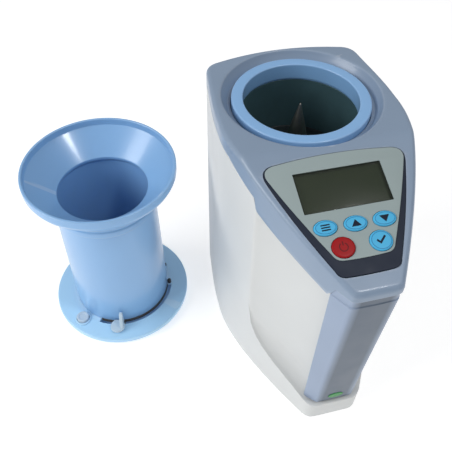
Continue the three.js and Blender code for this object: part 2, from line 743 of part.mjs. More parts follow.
function saucer() {
  const dish = turned([
    [38.5, 7.8], [56.5, 7.2], [56.5, SAUCER_FOOT_Z], [SAUCER_R - 1, SAUCER_FOOT_Z],
    [SAUCER_R, SAUCER_FOOT_Z + 1], [SAUCER_R, 6.6], [SAUCER_R - 1.2, 7.8],
    [46, 9.9], [38.5, 9.9], [38.5, 7.8],
  ]);
  const slot = sector(SLOT_R - SLOT_HALF_WIDTH, SLOT_R + SLOT_HALF_WIDTH, SLOT_START, SLOT_END);
  const spot = polar(BUTTON_R, BUTTON_ANGLE);
  const boss = rod(7.2, 7.3, 10.4, spot.x, spot.y, 20);
  const bosses = SAMPLER_SCREWS.map((angle) => {
    const at = polar(SAMPLER_SCREW_R, angle);
    return rod(3, 3.1, 8, at.x, at.y);
  });
  const pilots = SAMPLER_SCREWS.map((angle) => {
    const at = polar(SAMPLER_SCREW_R, angle);
    return rod(1.4, 2, 6.6, at.x, at.y);
  });
  return cut(
    join(dish, boss, ...bosses),
    prism(slot, 0, 15),
    rod(5.7, 0, 15, spot.x, spot.y, 20),
    ...pilots,
  );
}

// A disc with a hub and two sector windows.
function sectorPlate(discR, hubR, holeR, low, high, middles, spread) {
  const disc = ring(holeR, discR, low, high);
  const windows = middles.map((middle) => prism(sector(hubR, 34, middle - spread, middle + spread), 0, 20));
  return cut(disc, ...windows);
}

function gatePlate() {
  return sectorPlate(38.2, 7, 3.5, 8.2, 9.7, [0, 180], 42);
}

function shutterDisc() {
  const blades = sectorPlate(37.9, 7, 3.6, 6, 7.4, [90, 270], 43);
  const arm = prism(sector(36, SLOT_R + 2.4, LEVER_ANGLE - 8, LEVER_ANGLE + 8), 6, 7, 6);
  return join(blades, arm);
}

function shutterLever() {
  const turn = new THREE.Matrix4().makeRotationZ(degrees(LEVER_ANGLE));
  const at = (geometry) => solid(geometry.applyMatrix4(turn));
  const tang = at(new THREE.BoxGeometry(2, 6, 5).translate(SLOT_R, 0, 9.8));
  const paddle = new THREE.Shape();
  paddle.moveTo(SLOT_R - 1, -4.5);
  paddle.lineTo(SLOT_R + 5, -5.5);
  paddle.absarc(SLOT_R + 5, 0, 5.5, -Math.PI / 2, Math.PI / 2, false);
  paddle.lineTo(SLOT_R - 1, 4.5);
  const plate = at(extrusion(paddle, 10.5, 12.3, 8));
  const vane = at(new THREE.BoxGeometry(9, 2.2, 14).translate(SLOT_R + 3.5, 2.6, 19));
  return join(tang, plate, vane);
}

function releaseButton() {
  return turned([[0, 4.2], [3, 4.2], [3, 8], [5.3, 8], [5.3, 12.2], [4.5, 13], [0, 13]], 20);
}

// Rivet that holds the shutter under the gate plate and lets it turn.
function gatePivot() {
  return turned([[0, 4.2], [5, 4.2], [5, 5.4], [3.2, 5.4], [3.2, 10], [5.5, 10], [4.5, 11], [0, 11.4]], 16);
}

// Round wire wound about +Z.
function coil(radius, wireRadius, turns, low, high) {
  const route = new THREE.Curve();
  route.getPoint = (t, target = new THREE.Vector3()) => {
    const angle = 2 * Math.PI * turns * t;
    return target.set(radius * Math.cos(angle), radius * Math.sin(angle), low + (high - low) * t);
  };
  const section = new THREE.Shape();
  section.absarc(0, 0, wireRadius, 0, 2 * Math.PI, false);
  const options = { steps: Math.round(10 * turns), curveSegments: 3, extrudePath: route, bevelEnabled: false };
  return solid(new THREE.ExtrudeGeometry(section, options));
}

// Ring under the saucer that the sampler stands on.
function samplerFoot() {
  const holes = SAMPLER_SCREWS.map((angle) => {
    const at = polar(SAMPLER_SCREW_R, angle);
    return rod(1.7, -1, 5, at.x, at.y);
  });
  const spot = polar(BUTTON_R, BUTTON_ANGLE);
  return cut(ring(38.5, 54, 0, 2.7), rod(3.4, -1, 5, spot.x, spot.y), ...holes);
}

function samplerScrew(angle) {
  const shape = turned([[0, 0.2], [1.3, 0.2], [1.3, 5.4], [0, 6.2]], SMALL_ROUND);
  const screw = piece('screw', shape, 0x8d9094, 0.35, 0.9);
  const at = polar(SAMPLER_SCREW_R, angle);
  screw.position.set(at.x, at.y, 0);
  return screw;
}

function sampler() {
  const group = new THREE.Group();
  const spot = polar(BUTTON_R, BUTTON_ANGLE);
  const button = piece('release_button', releaseButton(), 0x96a5b9, 0.45);
  button.position.set(spot.x, spot.y, 0);
  const buttonSpring = piece('button_spring', coil(4.25, 0.45, 3, 3.5, 7.2), 0xb4b8bb, 0.3, 0.9);
  buttonSpring.position.set(spot.x, spot.y, 0);
  group.add(
    buttonSpring,
    piece('shutter_spring', coil(6.3, 0.4, 2, 3.2, 5.2), 0xb4b8bb, 0.3, 0.9),
    piece('gate_pivot', gatePivot(), 0xa9adb0, 0.3, 0.9),
    piece('barrel', barrel(), 0x7aa6d3, 0.25),
    piece('saucer', saucer(), 0x7aa6d3, 0.25),
    piece('gate_plate', gatePlate(), 0x6f9ac8, 0.35),
    piece('shutter_disc', shutterDisc(), 0xb8bcc0, 0.35, 0.8),
    piece('shutter_lever', shutterLever(), 0xa8bdcb, 0.45),
    button,
    piece('sampler_foot', samplerFoot(), 0x7aa6d3, 0.35),
  );
  SAMPLER_SCREWS.forEach((angle, i) => {
    const screw = samplerScrew(angle);
    screw.name = `sampler_screw_${i + 1}`;
    group.add(screw);
  });
  return group;
}

// ---------------------------------------------------------------- whole object

const meter = new THREE.Group();
meter.position.set(METER_X, METER_Y, 0);
meter.add(meterCasing(), measuringCup(), keypad(), batteries(), columnSticker());

const dropSampler = sampler();
dropSampler.position.set(SAMPLER_X, SAMPLER_Y, 0);

const moistureMeter = new THREE.Group();
moistureMeter.add(meter, dropSampler);

export default moistureMeter;
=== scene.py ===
import math

import bmesh
import bpy
from mathutils import Matrix, Vector


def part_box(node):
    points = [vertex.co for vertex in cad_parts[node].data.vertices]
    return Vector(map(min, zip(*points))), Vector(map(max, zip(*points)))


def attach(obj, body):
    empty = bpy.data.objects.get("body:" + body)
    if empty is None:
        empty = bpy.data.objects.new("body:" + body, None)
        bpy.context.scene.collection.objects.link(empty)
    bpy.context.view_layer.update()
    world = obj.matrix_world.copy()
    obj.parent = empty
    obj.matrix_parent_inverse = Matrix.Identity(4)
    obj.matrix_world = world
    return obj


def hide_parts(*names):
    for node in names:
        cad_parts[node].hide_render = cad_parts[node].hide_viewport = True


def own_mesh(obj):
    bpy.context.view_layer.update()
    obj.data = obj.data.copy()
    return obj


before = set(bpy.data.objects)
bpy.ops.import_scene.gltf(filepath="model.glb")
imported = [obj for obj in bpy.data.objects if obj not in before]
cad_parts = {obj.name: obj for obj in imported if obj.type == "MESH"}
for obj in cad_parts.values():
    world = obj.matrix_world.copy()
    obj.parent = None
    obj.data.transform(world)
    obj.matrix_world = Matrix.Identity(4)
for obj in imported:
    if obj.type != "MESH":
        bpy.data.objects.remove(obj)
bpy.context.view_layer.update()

MM = 0.001

# ---------------------------------------------------------------- driving dimensions, in millimetres

# Meter casing, measured from the axis of the measuring cup
BODY_HEIGHT = 215
HALF_WIDTH = 63.98
REAR_Y = 60
NOSE_Y = -150
NOSE_X = 16.4                     # half-width of the nose where its corner ends
NOSE_TAPER = 0.57                 # narrowing of the nose for each millimetre of inset
NOSE_CORNER = 2
WIDEST_Y = -15
PLINTH_FRONT_Y = -141.5
PLINTH_CORNER = 6
FLOOR_GAP = 2
WALL = 2.5
SEAM = 0.3                        # visible line between cover and housing
COVER_THICKNESS = 2.8
COVER_ROUND = 3.2                 # rounding of the cover's upper edge
SLOPE = 0.34                      # fall of the keypad face
SLOPE_START_Y = -55
SLOPE_BLEND = 3
EDGE_Z = 203.5                    # lower edge of the cover's skirt
EDGE_SLOPE = 0.3
EDGE_START_Y = -41
GRIP_SKIRT_DROP = 9               # step down of the skirt over the side grips
GRIP_REAR_Y = -73
GRIP_FILLET = 15
LAP = 4                           # height of the housing's tongue inside the cover
COLUMN_TOP_Z = 176
COLUMN_FOOT_Z = 24
COLUMN_FRONT_X = 14.2             # half-widths of the column's front and rear at the foot
COLUMN_SIDE_X = 23
COLUMN_FRONT_Y = -139.6
COLUMN_LEAN = 10                  # how far the column's front leans forward over its height
STICKER_LEAN = 9.7                # the same for the face under the sticker
LEDGE_Z = 169.5                   # the column is set back a little above this height
LEDGE_DEPTH = 0.55
COLUMN_REAR_Y = -135.3            # the nose's lower edge is level ahead of this
COLUMN_REAR_FOOT_Y = -131
COLUMN_REAR_TOP_Y = -135.1
COLUMN_GAP = 1.3                  # from the column's rear edge to the housing

# Measuring cup
CUP_RING_R = 49.3
CUP_MOUTH_R = 40.9
CUP_BORE_R = 42.5
CUP_TOP_Z = 212
CUP_RING_FOOT_Z = 190
CUP_FLOOR_Z = 154
CARRIER_Z = 122
CONE_R = 9.5
PROBE_X = 22

# Keypad
PANEL_X = -1.5
PANEL_Y = -85
WINDOW_WIDTH = 58
WINDOW_HEIGHT = 27.8
POCKET_SHARE = 1.008              # size of the cover's pocket against the bezel
BEZEL_TOP = 0.3
LABEL_TOP = 1
KEY_TOP = 2
KEY_FOOT = -4.3                   # underside of the flange round each key
STEM_FOOT = -6.5
STEM_R = 2
KEY_GAP = 0.3
KEYS = {
    # middle x and y on the panel, width, height
    "menu": (-19, -24.4, 14.8, 10),
    "up": (0, -24.8, 14.8, 10),
    "down": (18.6, -25.1, 14.8, 10),
    "power": (-12, -38.2, 14.4, 13.2),
    "ok": (11.8, -38.3, 14.4, 13.2),
}

# Battery compartment
DOOR_WIDTH = 62
DOOR_FOOT_Z = 12
DOOR_TOP_Z = 78
DOOR_THICKNESS = 2.4
REAR_FLAT_Y = 56.5
CELL_RADIUS = 7.25
CELL_LENGTH = 50.5
CELL_Y = 42.5
CELL_FOOT_Z = 15.5
CELL_PITCH = 15

# Drop sampler
SAMPLER_HEIGHT = 158.6
FUNNEL_R = 58.7
THROAT_R = 35.3
THROAT_Z = 136
TUBE_BORE_R = 37.8
TUBE_FOOT_R = 42
TUBE_TOP_R = 40
SAUCER_R = 60.5
SLOT_R = 44.2
SLOT_HALF_WIDTH = 1.7
SLOT_START = -124
SLOT_END = -15
LEVER_ANGLE = -102
BUTTON_ANGLE = -142
BUTTON_R = 50

# Studio: metres, watts and degrees
FLOOR_SIZE = 3                    # from the origin to each side
SKY_LOW = 0.25                    # strength of the surrounding light at the horizon, and overhead
SKY_HIGH = 0.56
CAMERA_PLACE = (-0.1336, -0.3122, 0.4521)
CAMERA_TILT = 48.31
CAMERA_TURN = 14.43
CAMERA_ROLL = 0.723
LENS = 45.764                     # millimetres, as is the sensor's width
SENSOR = 36
LAMP_TARGET = (0, 0, 0.1)
LAMPS = [
    # name, place, size, power
    ("window", (-1.1, -0.1, 0.85), (0.8, 0.5), 8.5),
    ("ceiling", (0.49, -0.40, 1.25), (0.14, 0.14), 3),
]

# Shading angles in degrees: edges sharper than these look crisp
CRISP = 32
CRISP_ROUNDED = 40
CRISP_WIRE = 50


def middle_of(node):
    low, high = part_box(node)
    return (low + high) / 2


def axis_through(node):
    """Frame on the floor under the middle of a round node."""
    middle = middle_of(node)
    return Matrix.Translation((middle.x, middle.y, 0))


METER = axis_through("cup_ring")
SAMPLER = axis_through("barrel")

# ---------------------------------------------------------------- curves and profiles


def smooth(value):
    t = min(max(value, 0), 1)
    return t * t * (3 - 2 * t)


def quadratic(a, b, c, steps):
    """Points of a quadratic curve after its first point."""
    out = []
    for i in range(1, steps + 1):
        t = i / steps
        out.append(tuple((1 - t) ** 2 * p + 2 * t * (1 - t) * q + t * t * r for p, q, r in zip(a, b, c)))
    return out


def cubic_at(a, b, c, d, t):
    weights = ((1 - t) ** 3, 3 * t * (1 - t) ** 2, 3 * t * t * (1 - t), t ** 3)
    return tuple(sum(w * v for w, v in zip(weights, values)) for values in zip(a, b, c, d))


def cubic(a, b, c, d, steps, start=0.0):
    return [cubic_at(a, b, c, d, start + (1 - start) * i / steps) for i in range(1, steps + 1)]


def rounded(points, steps=5):
    """A closed path of (x, y, radius) corners with each corner rounded."""
    out = []
    count = len(points)
    for i, (x, y, radius) in enumerate(points):
        if radius == 0:
            out.append((x, y))
            continue
        here = Vector((x, y))
        before = Vector(points[i - 1][:2]) - here
        after = Vector(points[(i + 1) % count][:2]) - here
        corner = before.angle(after) / 2
        reach = min(radius / math.tan(corner), 0.48 * before.length, 0.48 * after.length)
        start = here + before.normalized() * reach
        end = here + after.normalized() * reach
        out.append(tuple(start))
        out.extend(quadratic(start, here, end, steps))
    return out


def circle(radius, steps, x=0.0, y=0.0):
    return [(x + radius * math.cos(2 * math.pi * i / steps), y + radius * math.sin(2 * math.pi * i / steps))
            for i in range(steps)]


def oval(x, y, width, height, steps=56):
    return [(x + px * width / 2, y + py * height / 2) for px, py in circle(1, steps)]


def box_plan(half_x, half_y, radius=0.0):
    corners = [(-half_x, -half_y), (half_x, -half_y), (half_x, half_y), (-half_x, half_y)]
    return rounded([(x, y, radius) for x, y in corners])


def arc(radius, start, end, steps):
    angles = [math.radians(start + (end - start) * i / steps) for i in range(steps + 1)]
    return [(radius * math.cos(a), radius * math.sin(a)) for a in angles]


def sector_plan(inner, outer, start, end, steps=48):
    return arc(outer, start, end, steps) + arc(inner, start, end, steps)[::-1]


def polar(radius, angle):
    return radius * math.cos(math.radians(angle)), radius * math.sin(math.radians(angle))


# ---------------------------------------------------------------- mesh making


def make_object(name, points, faces, place=METER):
    """A mesh object from millimetre points, placed by a matrix in metres."""
    mesh = bpy.data.meshes.new(name)
    mesh.from_pydata([place @ (Vector(p) * MM) for p in points], [], faces)
    work = bmesh.new()
    work.from_mesh(mesh)
    bmesh.ops.remove_doubles(work, verts=work.verts, dist=1e-7)
    bmesh.ops.dissolve_degenerate(work, edges=work.edges, dist=1e-7)
    bmesh.ops.recalc_face_normals(work, faces=work.faces)
    work.to_mesh(mesh)
    work.free()
    piece = bpy.data.objects.new(name, mesh)
    bpy.context.scene.collection.objects.link(piece)
    smooth_shade(piece)
    return piece


def smooth_shade(piece, crisp=CRISP):
    piece.data.polygons.foreach_set("use_smooth", [True] * len(piece.data.polygons))
    piece.data.set_sharp_from_angle(angle=math.radians(crisp))


def ring_faces(lower, upper, count):
    """Quads between two closed rings, from the number of each ring's first point."""
    faces = []
    for i in range(count):
        j = (i + 1) % count
        faces.append((lower + i, lower + j, upper + j, upper + i))
    return faces


def loft(name, rings, place=METER, wrap=False):
    """Quads between closed rings of points. With wrap, the last ring joins the first."""
    count = len(rings[0])
    faces = []
    for row in range(len(rings) - (0 if wrap else 1)):
        upper = (row + 1) % len(rings)
        faces += ring_faces(row * count, upper * count, count)
    return make_object(name, [p for ring in rings for p in ring], faces, place)


def turned(name, profile, place=METER, steps=144):
    """A shape turned about +Z from closed (radius, z) points."""
    rings = []
    for radius, z in profile:
        rings.append([(x, y, z) for x, y in circle(radius, steps)])
    return loft(name, rings, place, wrap=True)


def slab(name, plan, low, high, place=METER, edge=0.0):
    """An outline raised from low to high, with its edges rounded."""
    count = len(plan)
    points = [(x, y, z) for z in (low, high) for x, y in plan]
    faces = [tuple(reversed(range(count))), tuple(range(count, 2 * count))]
    faces += ring_faces(0, count, count)
    piece = make_object(name, points, faces, place)
    if edge:
        round_edges(piece, edge)
    return piece


def block(name, low, high, place=METER, edge=0.0):
    plan = [(low[0], low[1]), (high[0], low[1]), (high[0], high[1]), (low[0], high[1])]
    return slab(name, plan, low[2], high[2], place, edge)


def bake_modifiers(piece):
    """Turn the piece's modifiers into its mesh."""
    bpy.context.view_layer.update()
    shaped = piece.evaluated_get(bpy.context.evaluated_depsgraph_get())
    mesh = bpy.data.meshes.new_from_object(shaped)
    piece.modifiers.clear()
    piece.data = mesh
    return piece


def round_edges(piece, width, steps=3):
    bevel = piece.modifiers.new("edges", "BEVEL")
    bevel.width = width * MM
    bevel.segments = steps
    bevel.limit_method = "ANGLE"
    bevel.angle_limit = math.radians(34)
    bevel.use_clamp_overlap = True
    bake_modifiers(piece)
    smooth_shade(piece, CRISP_ROUNDED)
    return piece


def combine(piece, operation, tools):
    """Join the tools to the piece, or cut them out of it."""
    for tool in tools:
        step = piece.modifiers.new("combine", "BOOLEAN")
        step.operation = operation
        step.solver = "EXACT"
        step.object = tool
    bake_modifiers(piece)
    for tool in tools:
        bpy.data.objects.remove(tool)
    smooth_shade(piece)
    return piece


def cut(piece, *tools):
    return combine(piece, "DIFFERENCE", tools)


def join(piece, *tools):
    return combine(piece, "UNION", tools)


def copied(name, node):
    """A new object with a copy of a CAD node's mesh."""
    piece = bpy.data.objects.new(name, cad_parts[node].data.copy())
    bpy.context.scene.collection.objects.link(piece)
    return piece


def refined(name, node, width=0.3):
    """A copy of a CAD node with its edges rounded."""
    return round_edges(copied(name, node), width, 2)


def finish_piece(piece, body, slot, look, *nodes):
    """Gives a piece its material and body; nodes are the CAD nodes that it replaces. The slot is not used.
    """
    piece.data.materials.clear()
    piece.data.materials.append(look)
    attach(piece, body)
    if nodes:
        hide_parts(*nodes)
    return piece


# ---------------------------------------------------------------- materials


class Look:
    """Builds one procedural material round a Principled shader."""

    def __init__(self, name, roughness, metallic=0.0, ior=1.5):
        self.material = bpy.data.materials.new(name)
        self.material.use_nodes = True
        self.nodes = self.material.node_tree.nodes
        self.links = self.material.node_tree.links
        self.shader = self.nodes["Principled BSDF"]
        self.shader.inputs["Roughness"].default_value = roughness
        self.shader.inputs["Metallic"].default_value = metallic
        self.shader.inputs["IOR"].default_value = ior
        self.place = self.nodes.new("ShaderNodeTexCoord").outputs["Object"]

    def set(self, **values):
        for label, value in values.items():
            self.shader.inputs[label.replace("_", " ")].default_value = value
        return self

    def noise(self, scale, detail=3.0, stretch=(1, 1, 1)):
        mapping = self.nodes.new("ShaderNodeMapping")
        mapping.inputs["Scale"].default_value = stretch
        self.links.new(self.place, mapping.inputs["Vector"])
        noise = self.nodes.new("ShaderNodeTexNoise")
        noise.inputs["Scale"].default_value = scale
        noise.inputs["Detail"].default_value = detail
        self.links.new(mapping.outputs["Vector"], noise.inputs["Vector"])
        return noise.outputs["Fac"]

    def ramp(self, factor, stops):
        ramp = self.nodes.new("ShaderNodeValToRGB")
        elements = ramp.color_ramp.elements
        while len(elements) < len(stops):
            elements.new(0.5)
        for element, (position, colour) in zip(elements, stops):
            element.position = position
            element.color = (*colour, 1)
        self.links.new(factor, ramp.inputs["Fac"])
        return ramp.outputs["Color"]

    def mix(self, factor, first, second, kind="MIX"):
        mix = self.nodes.new("ShaderNodeMix")
        mix.data_type = "RGBA"
        mix.blend_type = kind
        for label, value in (("Factor", factor), ("A", first), ("B", second)):
            socket = mix.inputs[label]
            if isinstance(value, bpy.types.NodeSocket):
                self.links.new(value, socket)
            else:
                socket.default_value = value if isinstance(value, float) else (*value, 1)
        return mix.outputs["Result"]

    def colour(self, base, spread=0.04, scale=30.0, wear_and_highlight=0.0):
        """A base colour with soft cloudy variation, and paler edges, partly wear and partly painted
        highlight.
        """
        darker = tuple(c * (1 - spread) for c in base)
        lighter = tuple(min(1, c * (1 + spread)) for c in base)
        colour = self.ramp(self.noise(scale), [(0.3, darker), (0.7, lighter)])
        if wear_and_highlight:
            # paler convex edges: partly wear, partly painted highlight
            edges = self.nodes.new("ShaderNodeNewGeometry").outputs["Pointiness"]
            pale = tuple(c + (1 - c) * wear_and_highlight for c in base)
            mask = self.ramp(edges, [(0.51, (0, 0, 0)), (0.56, (1, 1, 1))])
            colour = self.mix(mask, colour, pale)
        self.links.new(colour, self.shader.inputs["Base Color"])
        return self

    def gloss(self, low, high, scale=60.0, stretch=(1, 1, 1)):
        """Roughness that drifts between two values."""
        span = self.nodes.new("ShaderNodeMapRange")
        span.inputs["From Min"].default_value = 0.3
        span.inputs["From Max"].default_value = 0.7
        span.inputs["To Min"].default_value = low
        span.inputs["To Max"].default_value = high
        self.links.new(self.noise(scale, 4.0, stretch), span.inputs["Value"])
        self.links.new(span.outputs["Result"], self.shader.inputs["Roughness"])
        return self

    def bump(self, scale, depth, strength=0.5, stretch=(1, 1, 1), detail=2.0):
        """Fine surface relief; depth is in millimetres."""
        bump = self.nodes.new("ShaderNodeBump")
        bump.inputs["Strength"].default_value = strength
        bump.inputs["Distance"].default_value = depth * MM
        self.links.new(self.noise(scale, detail, stretch), bump.inputs["Height"])
        previous = self.shader.inputs["Normal"]
        if previous.is_linked:
            self.links.new(previous.links[0].from_socket, bump.inputs["Normal"])
        self.links.new(bump.outputs["Normal"], previous)
        return self


def linear(value):
    share = value / 255
    return ((share + 0.055) / 1.055) ** 2.4 if value > 10 else share / 12.92


def srgb(red, green, blue):
    """Linear colour from 0-255 values."""
    return linear(red), linear(green), linear(blue)


def moulded(name, colour, roughness, grain=0.03, wear_and_highlight=0.08, coat=0.0, drift=0.04):
    """Injection-moulded plastic with a fine spark-eroded grain."""
    look = Look(name, roughness).colour(colour, drift / 2, 18, wear_and_highlight)
    look.gloss(roughness - drift, roughness + drift, 45)
    if grain:
        look.bump(1700, grain, 0.5)
        look.bump(30, 0.05, 0.12)
    look.set(Coat_Weight=coat, Coat_Roughness=0.12)
    return look.material


def metal(name, colour, roughness, stretch=(1, 1, 1), depth=0.01):
    look = Look(name, roughness, 1.0).colour(colour, 0.06, 60, 0.1)
    look.gloss(roughness - 0.06, roughness + 0.08, 220, stretch)
    look.bump(900, depth, 0.4, stretch)
    return look.material


COVER_COLOUR = srgb(133, 152, 175)
COVER = moulded("cover_plastic", COVER_COLOUR, 0.4, 0.03, 0.12, 0.25)
HOUSING = moulded("housing_plastic", srgb(212, 214, 213), 0.42, 0.03, 0.05)
SKY = moulded("sky_blue_plastic", srgb(134, 180, 226), 0.3, 0.0, 0.15, 0.35, 0.008)
# the saucer's copy of the sky-blue plastic, paler than the barrel as painted light
SKY_PAINTED_LIGHT = moulded("sky_blue_saucer_painted_light", srgb(174, 218, 250), 0.3, 0.0, 0.15, 0.3, 0.008)
SKY_DEEP = moulded("sky_blue_inner", srgb(122, 170, 222), 0.34, 0.01, 0.05)
BUTTON = moulded("button_plastic", srgb(186, 206, 224), 0.42, 0.02, 0.1)
LEVER = moulded("lever_plastic", srgb(184, 206, 222), 0.4, 0.02, 0.12)
TRAY = moulded("tray_plastic", srgb(52, 54, 58), 0.5, 0.03, 0.05)
RUBBER = moulded("foot_rubber", srgb(38, 39, 42), 0.8, 0.05, 0.06)
SWITCH = moulded("switch_plastic", srgb(44, 46, 50), 0.5, 0.02, 0.05)
INSULATOR = moulded("insulator", srgb(22, 30, 33), 0.45, 0.03, 0.05)
STEEL = metal("screw_steel", (0.5, 0.5, 0.52), 0.3)
SPRING = metal("probe_steel", (0.68, 0.69, 0.71), 0.22)
ALUMINIUM = metal("cell_aluminium", (0.62, 0.63, 0.65), 0.34, (1, 8, 1))
SHUTTER = metal("shutter_steel", (0.62, 0.64, 0.67), 0.3, (1, 14, 1))
COPPER = metal("battery_band", (0.62, 0.4, 0.2), 0.26)
ELECTRODE = metal("electrode_metal", srgb(150, 144, 134), 0.34, (1, 1, 12), 0.02)


def cup_look():
    """Dark anodised wall of the test cup, with turning marks."""
    look = Look("cup_metal", 0.36, 0.35).colour(srgb(74, 104, 110), 0.08, 50)
    look.gloss(0.3, 0.44, 200, (1, 1, 12))
    look.bump(700, 0.02, 0.4, (1, 1, 12))
    return look.material


CUP_METAL = cup_look()


def column_look():
    """Cover plastic painted lighter than the cover as painted light on the column's sides, and darkened
    between the rounded corners as painted shade on the front face.
    """
    look = Look("column_painted_light_and_shade", 0.42).colour(srgb(148, 164, 188), 0.025, 18)
    look.gloss(0.36, 0.46, 45)
    split = look.nodes.new("ShaderNodeSeparateXYZ")
    look.links.new(look.place, split.inputs["Vector"])
    offset = look.nodes.new("ShaderNodeMath")
    offset.operation = "SUBTRACT"
    offset.inputs[1].default_value = METER.translation.x
    look.links.new(split.outputs["X"], offset.inputs[0])
    distance = look.nodes.new("ShaderNodeMath")
    distance.operation = "ABSOLUTE"
    look.links.new(offset.outputs["Value"], distance.inputs[0])
    span = look.nodes.new("ShaderNodeMapRange")
    span.inputs["From Min"].default_value = 9.5 * MM
    span.inputs["From Max"].default_value = 15 * MM
    look.links.new(distance.outputs["Value"], span.inputs["Value"])
    # painted light: the column's base colour is a lighter copy of the cover plastic
    painted_side_light = look.shader.inputs["Base Color"].links[0].from_socket
    # painted shade: the front face between the rounded corners is darkened to about a third
    painted_front_shade = look.mix(1.0, painted_side_light, (0.35, 0.37, 0.37), "MULTIPLY")
    look.links.new(look.mix(span.outputs["Result"], painted_front_shade, painted_side_light), look.shader.inputs["Base Color"])
    look.bump(1700, 0.03, 0.5)
    return look.material


COLUMN = column_look()


def film(name, colour, roughness=0.46):
    """Printed film with a fine texture and a weak reflection."""
    look = Look(name, roughness).colour(colour, 0.02, 14)
    look.gloss(roughness - 0.05, roughness + 0.05, 90)
    look.bump(2600, 0.012, 0.5)
    look.set(Specular_IOR_Level=0.22)
    return look.material


NAVY = film("bezel_film", srgb(34, 42, 58), 0.5)
LABEL = film("label_film", srgb(154, 168, 168))
BLUE_KEY = film("blue_key", srgb(80, 182, 228), 0.46)
RED_KEY = film("red_key", srgb(158, 14, 20), 0.46)
INK = film("key_ink", srgb(14, 26, 48), 0.55)
RIM_INK = film("rim_ink", srgb(50, 128, 178), 0.5)
DARK_RED = film("dark_red_ink", srgb(96, 10, 16), 0.45)
STICKER = film("sticker_film", srgb(68, 150, 84), 0.4)


def display_look():
    """Unlit liquid-crystal glass: olive grey, with faint rows of cells."""
    look = Look("lcd", 0.35)
    clouds = look.ramp(look.noise(25), [(0.3, srgb(50, 64, 42)), (0.75, srgb(60, 72, 48))])
    brick = look.nodes.new("ShaderNodeTexBrick")
    look.links.new(look.place, brick.inputs["Vector"])
    brick.offset = 0.0
    brick.inputs["Scale"].default_value = 1.0
    brick.inputs["Brick Width"].default_value = 6.2 * MM
    brick.inputs["Row Height"].default_value = 8.6 * MM
    brick.inputs["Mortar Size"].default_value = 0.5 * MM
    look.links.new(clouds, brick.inputs["Mortar"])
    look.links.new(look.mix(0.07, clouds, srgb(30, 36, 28)), brick.inputs["Color1"])
    look.links.new(look.mix(0.05, clouds, srgb(30, 36, 28)), brick.inputs["Color2"])
    look.links.new(brick.outputs["Color"], look.shader.inputs["Base Color"])
    return look.material


def window_look():
    """Tinted display window, part see-through."""
    look = Look("window_glass", 0.08, 0.0, 1.45).colour(srgb(54, 62, 48), 0.03, 20)
    look.gloss(0.06, 0.12, 40)
    look.set(Alpha=0.3)
    return look.material


def board_look():
    """Green solder mask with a faint weave."""
    look = Look("circuit_board", 0.35).colour(srgb(36, 104, 62), 0.1, 160)
    look.bump(700, 0.03, 0.5, (1, 3, 1))
    return look.material


def sleeve_look():
    """Blue battery sleeve; the band round it is a piece of its own."""
    look = Look("battery_sleeve", 0.24, 0.35).colour(srgb(40, 78, 138), 0.05, 40)
    look.gloss(0.2, 0.26, 120)
    look.bump(500, 0.02, 0.3)
    return look.material


LCD = display_look()
WINDOW = window_look()
BOARD = board_look()
SLEEVE = sleeve_look()

# ---------------------------------------------------------------- shape of the casing


def top_z(y):
    """Height of the top face."""
    ahead = SLOPE_START_Y - y
    if ahead < -SLOPE_BLEND:
        return BODY_HEIGHT
    if ahead > SLOPE_BLEND:
        return BODY_HEIGHT - SLOPE * ahead
    return BODY_HEIGHT - SLOPE * (ahead + SLOPE_BLEND) ** 2 / (4 * SLOPE_BLEND)


def skirt_edge(y):
    """Height of the lower edge of the cover's skirt, which steps down over the side grips."""
    rear = EDGE_Z - EDGE_SLOPE * max(0, EDGE_START_Y - y)
    return rear - GRIP_SKIRT_DROP * smooth((GRIP_REAR_Y + 1.5 - y) / 2.5)


def cover_edge(y):
    rise = smooth((COLUMN_REAR_Y - y) / 1.2)
    return skirt_edge(y) * (1 - rise) + COLUMN_TOP_Z * rise


def nose_end(inset):
    """Where the nose's rounded corner runs into the side."""
    return NOSE_X - NOSE_TAPER * inset, NOSE_Y + inset + NOSE_CORNER


def side_controls(inset):
    """Curve from the nose to the widest point, moved inwards by the inset."""
    side = HALF_WIDTH - inset
    pull = (69.2 - 1.1 * inset, -55.8 + 0.3 * inset)
    return nose_end(inset), pull, (side, -27.4), (side, WIDEST_Y)


def rear_half(inset):
    """Right half of the rear outline, from the widest point to the middle of the back."""
    side = HALF_WIDTH - inset
    corner = (48 - 0.5 * inset, 53.3 - inset)
    points = cubic((side, WIDEST_Y), (side, 5), (60.5 - inset, 25), (59 - inset, 40), 30)
    points += quadratic(points[-1], (58 - inset, 51.5 - inset), corner, 14)
    bow = quadratic(corner, (0, 2 * (REAR_Y - inset) - corner[1]), (-corner[0], corner[1]), 32)
    return points + bow[:16]


def cover_half(inset):
    nose = NOSE_Y + inset
    points = [((10 - 0.4 * inset) * i / 5, nose) for i in range(6)]
    points += quadratic(points[-1], (15.2 - NOSE_TAPER * inset, nose), nose_end(inset), 8)
    return points + cubic(*side_controls(inset), 110) + rear_half(inset)


def housing_half(inset):
    """The same outline, cut off flat at the front of the plinth."""
    controls = side_controls(inset)
    front = PLINTH_FRONT_Y + inset
    low, high = 0.0, 0.3
    for _ in range(30):
        middle = (low + high) / 2
        if cubic_at(*controls, middle)[1] < front + PLINTH_CORNER:
            low = middle
        else:
            high = middle
    turn = cubic_at(*controls, low)
    corner_x = turn[0] - 0.58 * PLINTH_CORNER
    points = [((corner_x - PLINTH_CORNER) * i / 10, front) for i in range(11)]
    points += quadratic(points[-1], (corner_x, front), turn, 10)
    return points + cubic(*controls, 110, low) + rear_half(inset)


def whole(half):
    """The closed outline of a right half whose ends lie on the middle line."""
    return half + [(-x, y) for x, y in reversed(half[1:-1])]


